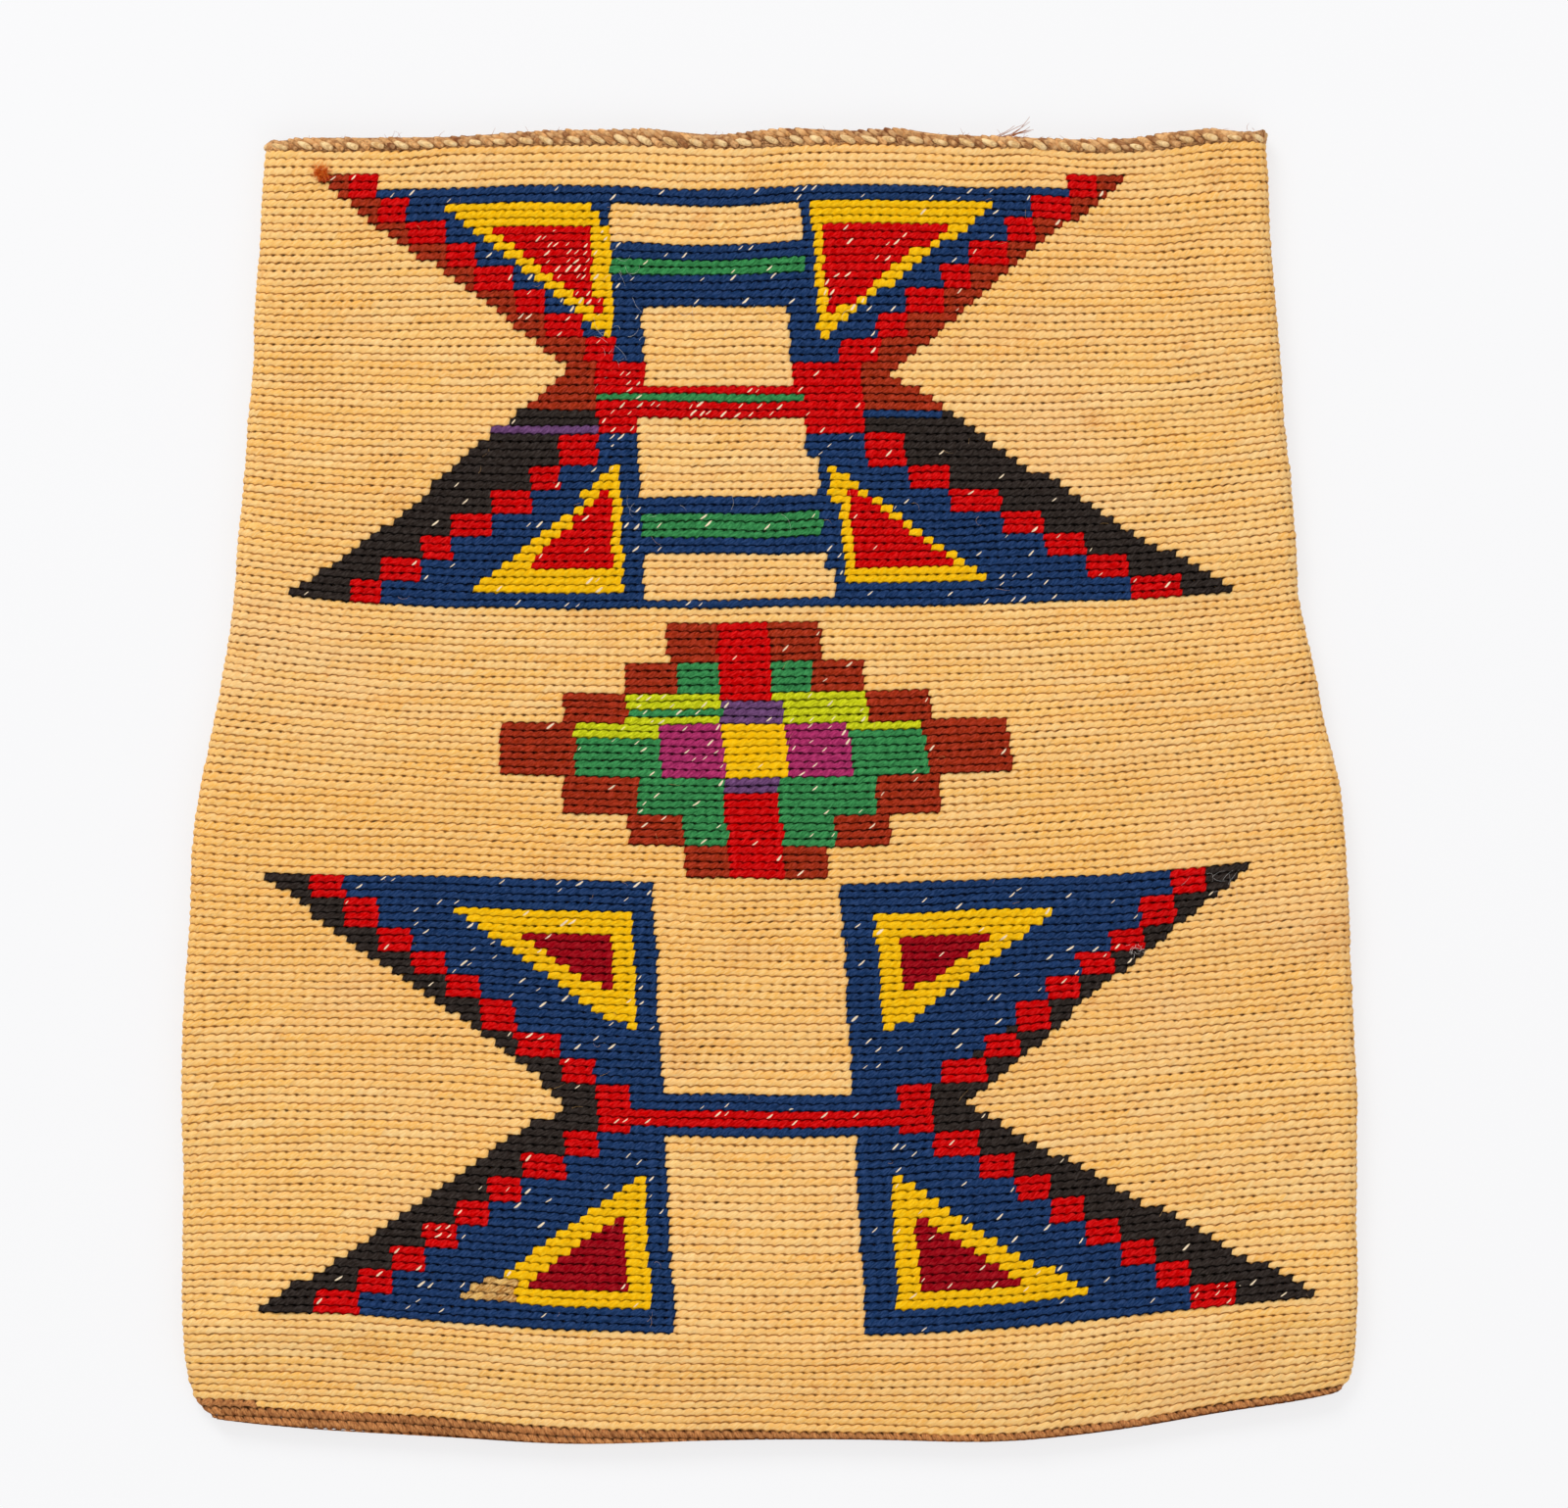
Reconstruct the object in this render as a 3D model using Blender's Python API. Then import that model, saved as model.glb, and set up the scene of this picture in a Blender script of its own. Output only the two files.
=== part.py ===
"""A flat bag twined from cordage and corn husk, with a wool design on its front, lying on its back.

The bag is one seamless tube, closed along its bottom. Every row of twining is a ridge that runs round
both faces. The rows are a little bowed and the columns of stitches lean, as on cloth made by hand, so
the design is written as the weaver counts it, in stitches across and rows down, and cloth_point()
turns that into a place on the bag. +X runs across the front to the right, +Y to the mouth, +Z out of
the front. Sizes are in millimetres.
"""

import math

import bmesh
import bpy

MM = 0.001

# Cloth
ROW_PITCH = 3.0
FIRST_ROW = 2
LAST_ROW = 164
STITCHES_ACROSS = 105
RIDGE = 0.7
WALL = 3.0
DEPTH = 13.0
FOLD_WIDTH = 5.5
GAP = 0.3
WOOL = 0.8

# The first column of the design lies left of the bag's middle and drifts right by this much a row.
LEAN_START = -22.5
LEAN_PER_ROW = 0.164

# Half widths of the front, by row: how far the left and the right fold lie from the middle.
EDGES = (
    (-2, 191.0, 188.0),
    (15, 194.4, 191.4),
    (30, 197.4, 194.7),
    (45, 200.0, 197.7),
    (60, 203.7, 201.4),
    (75, 210.7, 209.6),
    (90, 218.9, 217.8),
    (105, 221.7, 220.6),
    (120, 223.4, 222.3),
    (142, 223.8, 223.8),
    (154, 223.4, 223.6),
    (159, 221.4, 222.8),
    (162, 219.8, 220.8),
    (164, 217.5, 219.0),
    (166, 212.0, 216.0),
    (168, 206.0, 211.0),
)

# How far a row is lifted toward the mouth at the left fold, at 0.6 of the way to it, in the middle and the
# same on the right. LOOP_PLACES says at which of these places each of the nine points round the tube lies.
LIFT_PLACES = (-1.0, -0.6, 0.0, 0.6, 1.0)
LOOP_PLACES = (-1.0, -1.0, -0.6, 0.0, 0.6, 1.0, 1.0, 1.0, -1.0)
LIFTS = (
    (-2, -1.6, -0.8, 0.2, -2.8, 0.5),
    (15, -2.2, -1.6, -0.3, -2.0, -0.2),
    (30, 0.4, -2.4, -1.5, -1.4, 3.8),
    (60, 5.4, -0.7, -1.7, 1.5, 7.2),
    (90, 9.2, 4.9, 1.0, 6.1, 13.2),
    (105, 8.4, 6.6, 1.6, 7.4, 14.5),
    (125, 6.0, 6.0, 0.3, 7.4, 14.4),
    (150, 6.0, 4.0, -1.9, 5.5, 13.5),
    (165, 9.8, 6.6, 1.4, 4.1, 17.5),
)

# The brown rows that the twining starts with, as rows below the husk at the places in LIFT_PLACES.
START_ROWS = (2.5, 3.0, 1.4, 1.0, 1.1)
START_GAP = 0.7
START_DEPTH = 7.5
TAPER_ROWS = 10

# Mouth
BINDING_HEIGHT = 2.6
CORD_HEIGHT = 2.2
RIM_THICKNESS = 4.0
BINDING_STITCH = 12.0
CORD_TWIST = 22.0
RIM_SCALLOP = 0.5

# Inside of the bag
POCKET_LAST_ROW = 152
POCKET_CLOSED_ROW = 159
POCKET_SIDE = 4.0

# A corner where two squares of a chain meet is cut by this much, so that the chain holds together.
NECK_STITCHES = 0.45
NECK_ROWS = 0.6

COLOURS = {
    "husk": (0.76, 0.50, 0.17),
    "blue": (0.012, 0.045, 0.17),
    "red": (0.55, 0.006, 0.010),
    "crimson": (0.24, 0.004, 0.018),
    "brown": (0.16, 0.024, 0.012),
    "black": (0.018, 0.018, 0.020),
    "yellow": (0.83, 0.52, 0.012),
    "orange": (0.90, 0.46, 0.010),
    "green": (0.010, 0.20, 0.060),
    "lime": (0.38, 0.50, 0.015),
    "purple": (0.17, 0.010, 0.10),
    "violet": (0.060, 0.028, 0.12),
    "cord": (0.40, 0.17, 0.055),
    "binding": (0.50, 0.30, 0.13),
    "start": (0.30, 0.10, 0.035),
}


def clear_scene():
    for old in list(bpy.data.objects):
        bpy.data.objects.remove(old, do_unlink=True)


def make_material(name, colour):
    material = bpy.data.materials.new(name)
    material.use_nodes = True
    shader = material.node_tree.nodes["Principled BSDF"]
    shader.inputs["Base Color"].default_value = (*colour, 1.0)
    shader.inputs["Roughness"].default_value = 0.85
    shader.inputs["Metallic"].default_value = 0.0
    return material


def at_row(table, row):
    """The values of a table at a row, on straight lines between its entries."""
    if row <= table[0][0]:
        return table[0][1:]
    for low, high in zip(table, table[1:]):
        if row <= high[0]:
            share = (row - low[0]) / (high[0] - low[0])
            return tuple(a + share * (b - a) for a, b in zip(low[1:], high[1:]))
    return table[-1][1:]


def edge_at(side, row):
    """The half width of the front at a row, on the side of that sign."""
    left, right = at_row(EDGES, row)
    return left if side < 0 else right


def at_place(values, across):
    """One of five values across the front, on straight lines between the places that they belong to."""
    across = min(1.0, max(-1.0, across))
    for i in range(len(LIFT_PLACES) - 1):
        low, high = LIFT_PLACES[i], LIFT_PLACES[i + 1]
        if across <= high:
            share = (across - low) / (high - low)
            return values[i] + share * (values[i + 1] - values[i])
    return values[-1]


def lift_at(across, row):
    """How far a row is lifted, at a place across the front from -1 at the left fold to 1."""
    return at_place(at_row(LIFTS, row), across)


def across_at(stitch, row):
    """Where a stitch lies across the front, from -1 to 1, and how far from the middle."""
    pitch = (edge_at(-1, row) + edge_at(1, row)) / STITCHES_ACROSS
    x = LEAN_START + LEAN_PER_ROW * row + stitch * pitch
    return x / edge_at(x, row), x


def cloth_point(stitch, row):
    """The place of a stitch and row on the front."""
    across, x = across_at(stitch, row)
    return x, lift_at(across, row) - row * ROW_PITCH


def face_height(row):
    """The height of the front, which falls toward the closed bottom."""
    share = (row - (LAST_ROW - TAPER_ROWS)) / TAPER_ROWS
    return DEPTH - max(0.0, share) * (DEPTH - START_DEPTH)


def loop_at(row, inward=0.0, side_inward=None):
    """Nine points round the tube at a row: left fold, front from left to right, right fold and back."""
    side = inward if side_inward is None else side_inward
    left, right = edge_at(-1, row), edge_at(1, row)
    top = face_height(row)
    shoulder_left = -left + max(FOLD_WIDTH, side + 1.0)
    shoulder_right = right - max(FOLD_WIDTH, side + 1.0)
    x_and_z = (
        (-left + side, top / 2),
        (shoulder_left, top - inward),
        (LIFT_PLACES[1] * left, top - inward),
        (0.0, top - inward),
        (LIFT_PLACES[3] * right, top - inward),
        (shoulder_right, top - inward),
        (right - side, top / 2),
        (shoulder_right, inward),
        (shoulder_left, inward),
    )
    y = [lift_at(place, row) - row * ROW_PITCH for place in LOOP_PLACES]
    return [(x, y[i], z) for i, (x, z) in enumerate(x_and_z)]


def bridge(bm, low, high, turned=False):
    """Quads between two closed loops of points that are as long as each other."""
    count = len(low)
    for i in range(count):
        j = (i + 1) % count
        corners = (low[i], low[j], high[j], high[i])
        bm.faces.new(corners[::-1] if turned else corners)


def close_end(bm, loop):
    """Closes a nine-point loop between its front and its back points."""
    left, front_left, inner_left, middle, inner_right, front_right, right, back_right, back_left = loop
    for corners in (
        (left, front_left, back_left),
        (front_left, inner_left, back_left),
        (inner_left, middle, back_left),
        (middle, back_right, back_left),
        (middle, inner_right, back_right),
        (inner_right, front_right, back_right),
        (front_right, right, back_right),
    ):
        bm.faces.new(corners)


def finish_object(name, bm, material, parent):
    bmesh.ops.recalc_face_normals(bm, faces=bm.faces)
    mesh = bpy.data.meshes.new(name)
    bm.to_mesh(mesh)
    bm.free()
    mesh.materials.append(material)
    made = bpy.data.objects.new(name, mesh)
    bpy.context.collection.objects.link(made)
    made.parent = parent
    return made


def points_to_verts(bm, points):
    return [bm.verts.new((x * MM, y * MM, z * MM)) for x, y, z in points]


def make_body(material, parent):
    """The tube: a ridge for every row outside, a smooth pocket inside, open at the mouth."""
    bm = bmesh.new()
    loops = [points_to_verts(bm, loop_at(FIRST_ROW - 0.5, RIDGE))]
    for row in range(FIRST_ROW, LAST_ROW + 1):
        loops.append(points_to_verts(bm, loop_at(row)))
        loops.append(points_to_verts(bm, loop_at(row + 0.5, RIDGE)))
    for low, high in zip(loops, loops[1:]):
        bridge(bm, low, high)
    close_end(bm, loops[-1])

    inner = [points_to_verts(bm, loop_at(FIRST_ROW - 0.5, WALL, POCKET_SIDE))]
    bends = [entry[0] for entry in LIFTS if FIRST_ROW < entry[0] < POCKET_LAST_ROW]
    for row in bends + [POCKET_LAST_ROW]:
        inner.append(points_to_verts(bm, loop_at(row, WALL, POCKET_SIDE)))
    closing = loop_at(POCKET_CLOSED_ROW, WALL, 2 * POCKET_SIDE)
    inner.append(points_to_verts(bm, closing))
    for low, high in zip(inner, inner[1:]):
        bridge(bm, low, high, turned=True)
    close_end(bm, inner[-1])
    bridge(bm, loops[0], inner[0], turned=True)
    return finish_object("twined_body", bm, material, parent)


def make_start_band(material, parent):
    """The plain twined rows that close the bottom, thinner than the tube and flat on their back."""
    bm = bmesh.new()
    row = LAST_ROW + 0.5 + START_GAP / ROW_PITCH
    loops = []
    for below, inward in ((0.0, RIDGE), (0.5, 0.0), (1.0, RIDGE)):
        points = []
        for (x, y, z), place in zip(loop_at(row, inward), LOOP_PLACES):
            drop = below * at_place(START_ROWS, place) * ROW_PITCH
            points.append((x, y - drop, z if z > inward else 0.0))
        loops.append(points_to_verts(bm, points))
    for low, high in zip(loops, loops[1:]):
        bridge(bm, low, high)
    close_end(bm, loops[0])
    close_end(bm, loops[-1])
    return finish_object("start_band", bm, material, parent)


def rim_loop(row, stitch, scallop):
    """A loop round the mouth with a point for every rim stitch, every other one pushed inward."""
    corners, mouth = loop_at(row), loop_at(FIRST_ROW)
    middle = DEPTH / 2
    points = []
    for i, start in enumerate(corners):
        j = (i + 1) % len(corners)
        pieces = 2 * max(1, round(math.dist(mouth[i], mouth[j]) / (2 * stitch)))
        for k in range(pieces):
            share = k / pieces
            x, y, z = (a + share * (b - a) for a, b in zip(start, corners[j]))
            push = scallop if k % 2 else 0.0
            reach = min(1.0, abs(z - middle) / middle)
            points.append((x, y, z - math.copysign(push * reach, z - middle)))
    return points


def rim_loop_inner(row, stitch):
    """The ring's inner loop, with as many points as the outer one."""
    left, right = edge_at(-1, row), edge_at(1, row)
    middle = DEPTH / 2
    points = []
    for x, y, z in rim_loop(row, stitch, 0.0):
        half = left if x < 0 else right
        x_in = math.copysign(min(abs(x), half - RIM_THICKNESS), x)
        rise = z - middle
        z_in = middle + math.copysign(max(0.0, abs(rise) - RIM_THICKNESS), rise)
        points.append((x_in, y, z_in))
    return points


def make_rim(name, bottom_row, height, stitch, material, parent):
    """A ring round the mouth with scalloped faces, its hole as open as the pocket."""
    bm = bmesh.new()
    rows = (bottom_row, bottom_row - height / ROW_PITCH)
    outer = [points_to_verts(bm, rim_loop(row, stitch, RIM_SCALLOP)) for row in rows]
    inner = [points_to_verts(bm, rim_loop_inner(row, stitch)) for row in rows]
    bridge(bm, outer[0], outer[1])
    bridge(bm, inner[0], inner[1], turned=True)
    bridge(bm, outer[0], inner[0], turned=True)
    bridge(bm, outer[1], inner[1])
    return finish_object(name, bm, material, parent)


def refined(loop):
    """A loop in stitches and rows, with points added where the tables bend."""
    bends = sorted({entry[0] for entry in EDGES} | {entry[0] for entry in LIFTS})
    points = []
    for (stitch, row), (next_stitch, next_row) in zip(loop, loop[1:] + loop[:1]):
        shares = {0.0}
        for bend in bends:
            if min(row, next_row) < bend < max(row, next_row):
                shares.add((bend - row) / (next_row - row))
        for place in LIFT_PLACES[1:-1]:
            shares.update(crossing((stitch, row), (next_stitch, next_row), place))
        for share in sorted(shares):
            points.append((stitch + share * (next_stitch - stitch), row + share * (next_row - row)))
    return points


def crossing(start, end, place):
    """The share along an edge at which it crosses a place across the front, found by halving."""
    def miss(share):
        stitch = start[0] + share * (end[0] - start[0])
        row = start[1] + share * (end[1] - start[1])
        return across_at(stitch, row)[0] - place

    low, high = 0.0, 1.0
    if miss(low) * miss(high) >= 0:
        return []
    for _ in range(30):
        middle = (low + high) / 2
        if miss(low) * miss(middle) <= 0:
            high = middle
        else:
            low = middle
    share = (low + high) / 2
    return [share] if 0.02 < share < 0.98 else []


def signed_area(points):
    return sum(a[0] * b[1] - b[0] * a[1] for a, b in zip(points, points[1:] + points[:1])) / 2


def inset(points, distance, hole=False):
    """A loop drawn in by a distance on its material side."""
    turn = 1 if (signed_area(points) > 0) != hole else -1
    moved = []
    for before, here, after in zip(points[-1:] + points[:-1], points, points[1:] + points[:1]):
        ax, ay = here[0] - before[0], here[1] - before[1]
        bx, by = after[0] - here[0], after[1] - here[1]
        a_length, b_length = math.hypot(ax, ay), math.hypot(bx, by)
        nx = -ay / a_length - by / b_length
        ny = ax / a_length + bx / b_length
        scale = 2 / max(0.25, nx * nx + ny * ny)
        moved.append((here[0] + turn * distance * nx * scale, here[1] + turn * distance * ny * scale))
    return moved


def make_field(name, outline, material, parent, hole=None):
    """A field of wool: an outline in stitches and rows, perhaps with a hole, laid on the front."""
    bm = bmesh.new()
    edges = []
    for loop, is_hole in ((outline, False), (hole, True)):
        if loop is None:
            continue
        flat = [cloth_point(stitch, row) for stitch, row in refined(list(loop))]
        flat = inset(flat, GAP / 2, is_hole)
        low = DEPTH + GAP
        verts = points_to_verts(bm, [(x, y, low) for x, y in flat])
        edges += [bm.edges.new((a, b)) for a, b in zip(verts, verts[1:] + verts[:1])]
    bmesh.ops.triangle_fill(bm, edges=edges, use_beauty=True, use_dissolve=False)
    raised = bmesh.ops.extrude_face_region(bm, geom=list(bm.faces))
    top = [item for item in raised["geom"] if isinstance(item, bmesh.types.BMVert)]
    bmesh.ops.translate(bm, verts=top, vec=(0, 0, WOOL * MM))
    return finish_object(name, bm, material, parent)


def chain_sides(start, step, count, cut_first=True):
    """Both sides of a chain of squares, from its waist out: the dark side and the blue side."""
    (stitch, row), (across, down) = start, step
    cut_s = math.copysign(NECK_STITCHES, across)
    cut_r = math.copysign(NECK_ROWS, down)
    dark, blue = [], []
    for i in range(count):
        s, r = stitch + i * across, row + i * down
        if i or cut_first:
            dark += [(s, r - cut_r), (s + cut_s, r)]
            blue += [(s - cut_s, r), (s, r + cut_r)]
        else:
            blue.append((s, r))
        dark.append((s + across, r))
        blue.append((s, r + down))
    dark.append((stitch + count * across, row + count * down))
    return dark, blue


def triangle_pair(name, outer, inner, inner_colour, materials, parent):
    """A yellow triangle with a red one set in it."""
    make_field(f"{name}_yellow", outer, materials["yellow"], parent, hole=inner)
    make_field(f"{name}_{inner_colour}", inner, materials[inner_colour], parent)


# Top design
TOP_EDGE = 6.4
TOP_CHAIN_START = 28.8
TOP_CHAIN_STEP = 3.02
TOP_SQUARES = 8
WAIST_LAST = 38.0
LOW_CHAIN_STEP = 3.11
LOW_SQUARES = 7
TOP_LAST = WAIST_LAST + LOW_CHAIN_STEP * LOW_SQUARES
BAND_ROWS = (31.2, 32.9, 33.8, 35.9)
DARK_FIRST = 34.4


def top_design(materials, parent):
    """The upper motif: two pairs of stepped wings joined by bars through the middle panels."""
    upper = -TOP_CHAIN_STEP
    left_up = chain_sides((-11.0, TOP_CHAIN_START), (-3.42, upper), TOP_SQUARES, False)
    right_up = chain_sides((12.5, TOP_CHAIN_START), (3.45, upper), TOP_SQUARES, False)
    left_low = chain_sides((-13.1, WAIST_LAST), (-3.61, LOW_CHAIN_STEP), LOW_SQUARES)
    right_low = chain_sides((13.7, WAIST_LAST), (4.2, LOW_CHAIN_STEP), LOW_SQUARES)
    red_1, line_1, line_2, red_2 = BAND_ROWS

    # Reds: each side's two chains and the block between them, with the bands on the left one.
    bands = [
        (-9.2, WAIST_LAST), (-9.2, red_2), (7.5, red_2), (7.5, line_2), (-12.0, line_2),
        (-12.0, line_1), (7.5, line_1), (7.5, red_1), (-8.3, red_1), (-8.3, TOP_CHAIN_START),
    ]
    make_field(
        "top_red_left",
        left_up[0][::-1] + [(-13.1, TOP_CHAIN_START)] + left_low[0] + left_low[1][::-1] + bands
        + left_up[1],
        materials["red"], parent,
    )
    make_field(
        "top_red_right",
        right_up[0][::-1] + [(13.7, TOP_CHAIN_START)] + right_low[0] + right_low[1][::-1]
        + [(8.2, WAIST_LAST), (7.5, red_2), (7.5, TOP_CHAIN_START)] + right_up[1],
        materials["red"], parent,
    )
    make_field(
        "top_green_line",
        [(-12.0, line_1), (7.5, line_1), (7.5, line_2), (-12.0, line_2)],
        materials["green"], parent,
    )

    # Browns outside the upper chains and blacks outside the lower ones.
    for side, chain_up, chain_low, reach, waist, flare, block, low_reach in (
        ("left", left_up, left_low, -2.9, -15.4, -20.6, -13.1, -5.9),
        ("right", right_up, right_low, 3.1, 16.9, 22.2, 13.7, 6.1),
    ):
        end, top_row = chain_up[0][-1]
        low_end, low_row = chain_low[0][-1]
        make_field(
            f"top_brown_{side}",
            chain_up[0] + [(end + reach, top_row), (waist, 29.6), (flare, DARK_FIRST),
                           (block, DARK_FIRST), (block, TOP_CHAIN_START)],
            materials["brown"], parent,
        )
        outer = [(low_end + low_reach, low_row), (flare, DARK_FIRST), (block, DARK_FIRST)]
        if side == "left":
            outer += [(block, 36.1), (-21.4, 36.1), (-21.4, 37.2), (block, 37.2)]
        make_field(f"top_black_{side}", chain_low[0] + outer, materials["black"], parent)
    make_field(
        "top_violet_row",
        [(-21.4, 36.1), (-13.1, 36.1), (-13.1, 37.2), (-21.4, 37.2)],
        materials["violet"], parent,
    )

    # Yellow triangles, which are holes in the blues.
    upper_left = [(-27.9, 8.7), (-12.9, 8.7), (-11.4, 11.5), (-11.2, 25.4)]
    upper_left_in = [(-23.6, 11.5), (-12.9, 11.5), (-12.4, 22.8)]
    upper_right = [(29.6, 8.7), (10.4, 8.7), (9.7, 11.5), (9.9, 25.6)]
    upper_right_in = [(24.4, 11.5), (10.9, 11.5), (10.9, 23.4)]
    lower_left = [(-10.9, 41.2), (-11.0, 57.2), (-26.1, 57.2)]
    lower_left_in = [(-12.0, 43.4), (-12.3, 54.3), (-20.7, 54.3)]
    lower_right = [(10.2, 41.6), (11.2, 57.0), (26.5, 57.0)]
    lower_right_in = [(11.5, 44.0), (12.2, 54.3), (22.1, 54.3)]
    for name, outer, inner in (
        ("top_upper_left", upper_left, upper_left_in),
        ("top_upper_right", upper_right, upper_right_in),
        ("top_lower_left", lower_left, lower_left_in),
        ("top_lower_right", lower_right, lower_right_in),
    ):
        triangle_pair(name, outer, inner, "red", materials, parent)

    # Blues, with the bars through the middle as fingers of the left ones.
    cut_left = [point for point in left_up[1] if point[1] > TOP_EDGE]
    cut_right = [point for point in right_up[1] if point[1] > TOP_EDGE]
    bars = [
        (9.2, TOP_EDGE), (9.2, 8.8), (-10.9, 8.8), (-10.9, 13.6), (9.2, 13.6), (9.2, 15.7),
        (-10.9, 15.7), (-10.9, 17.9), (7.2, 17.9), (7.2, 21.4), (-8.3, 21.4),
        (-8.3, TOP_CHAIN_START),
    ]
    make_field(
        "top_blue_upper_left",
        cut_left + [(cut_left[-1][0], TOP_EDGE)] + bars,
        materials["blue"], parent, hole=upper_left,
    )
    make_field(
        "top_blue_upper_right",
        cut_right + [(cut_right[-1][0], TOP_EDGE), (9.2, TOP_EDGE), (9.2, 17.9), (7.2, 17.9),
                     (7.5, TOP_CHAIN_START)],
        materials["blue"], parent, hole=upper_right,
    )
    make_field(
        "top_green_upper",
        [(-10.9, 15.7), (9.2, 15.7), (9.2, 17.9), (-10.9, 17.9)],
        materials["green"], parent,
    )
    lower_bars = [
        (9.7, TOP_LAST), (9.7, 58.3), (-9.4, 58.3), (-9.4, 52.8), (9.3, 52.8), (9.3, 50.6),
        (-9.3, 50.6), (-9.3, 47.8), (9.0, 47.8), (9.0, 45.9), (-9.2, 45.9), (-9.2, WAIST_LAST),
    ]
    make_field(
        "top_blue_lower_left",
        left_low[1] + lower_bars,
        materials["blue"], parent, hole=lower_left,
    )
    make_field(
        "top_blue_lower_right",
        right_low[1] + [(9.7, TOP_LAST), (9.7, 58.3), (9.3, 52.8), (9.3, 47.8), (9.0, 47.8),
                        (9.0, 45.9), (8.2, WAIST_LAST)],
        materials["blue"], parent, hole=lower_right,
    )
    make_field(
        "top_green_lower",
        [(-9.3, 47.8), (9.0, 47.8), (9.3, 50.6), (-9.3, 50.6)],
        materials["green"], parent,
    )


# Middle design: rows of the steps, and the brown steps' outer and inner stitches on each side.
STEP_ROWS = (62.0, 66.5, 70.7, 75.0, 82.0, 86.6, 90.8, 94.1)
LEFT_OUTER = (-7.2, -11.4, -16.6, -23.2, -16.9, -11.4, -6.2)
LEFT_INNER = (-2.0, -6.4, -10.5, -15.7, -10.3, -5.8, -1.5)
RIGHT_OUTER = (8.2, 12.4, 17.6, 24.8, 18.1, 12.7, 7.5)
RIGHT_INNER = (3.0, 7.4, 11.9, 17.1, 11.8, 7.6, 3.5)


def stepped(rows, outer, inner):
    """The outline of a column of blocks: down the outer sides and up the inner ones."""
    down, up = [], []
    for i, (out_s, in_s) in enumerate(zip(outer, inner)):
        down += [(out_s, rows[i]), (out_s, rows[i + 1])]
        up += [(in_s, rows[i]), (in_s, rows[i + 1])]
    return down + up[::-1]


def middle_design(materials, parent):
    """The stepped diamond, its colours laid in blocks on each side of a middle column."""
    rows = STEP_ROWS
    make_field(
        "middle_brown_left", stepped(rows, LEFT_OUTER, LEFT_INNER), materials["brown"], parent
    )
    make_field(
        "middle_brown_right", stepped(rows, RIGHT_OUTER, RIGHT_INNER), materials["brown"], parent
    )
    violet_row, red_row = 71.3, 83.9
    column = (
        ("middle_red_upper", "red", -2.0, 3.0, rows[0], violet_row),
        ("middle_violet_upper", "violet", -2.0, 3.8, violet_row, rows[3]),
        ("middle_orange", "orange", -1.5, 3.8, rows[3], rows[4]),
        ("middle_violet_lower", "violet", -1.5, 3.5, rows[4], red_row),
        ("middle_red_lower", "red", -1.5, 3.5, red_row, rows[7]),
        ("middle_green_left", "green", -6.4, -2.0, rows[1], rows[2]),
        ("middle_green_right", "green", 3.0, 7.4, rows[1], rows[2]),
        ("middle_lime_left", "lime", -10.5, -2.0, rows[2], 72.7),
        ("middle_green_stripe", "green", -10.5, -2.0, 72.7, 74.0),
        ("middle_purple_left", "purple", -7.8, -1.5, rows[3], rows[4]),
        ("middle_purple_right", "purple", 3.8, 10.0, rows[3], rows[4]),
    )
    for name, colour, low, high, first, last in column:
        make_field(
            name, [(low, first), (high, first), (high, last), (low, last)], materials[colour], parent
        )
    strip_row = 76.1
    make_field(
        "middle_lime_strip",
        [(-10.5, 74.0), (-2.0, 74.0), (-2.0, rows[3]), (-7.8, rows[3]), (-7.8, strip_row),
         (-15.7, strip_row), (-15.7, rows[3]), (-10.5, rows[3])],
        materials["lime"], parent,
    )
    make_field(
        "middle_lime_right",
        [(3.0, rows[2]), (11.9, rows[2]), (11.9, rows[3]), (3.8, rows[3]), (3.8, violet_row),
         (3.0, violet_row)],
        materials["lime"], parent,
    )
    make_field(
        "middle_green_lower_left",
        [(-15.7, strip_row), (-7.8, strip_row), (-7.8, rows[4]), (-1.5, rows[4]), (-1.5, rows[6]),
         (-5.8, rows[6]), (-5.8, rows[5]), (-10.3, rows[5]), (-10.3, rows[4]), (-15.7, rows[4])],
        materials["green"], parent,
    )
    make_field(
        "middle_green_lower_right",
        [(10.0, rows[3]), (17.1, rows[3]), (17.1, rows[4]), (11.8, rows[4]), (11.8, rows[5]),
         (7.6, rows[5]), (7.6, rows[6]), (3.5, rows[6]), (3.5, rows[4]), (10.0, rows[4])],
        materials["green"], parent,
    )


# Bottom design
LOW_FIRST = 96.0
BLOCK_FIRST = 121.8
BLOCK_LAST = 127.5
LOW_LAST = 151.8
BOTTOM_SQUARES = 8
BLUE_ABOVE = 3.4
BLUE_BELOW = 2.8
YELLOW_ROWS = 2.9
BAR_ROWS = (122.9, 124.2, 126.2, 127.3)


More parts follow.
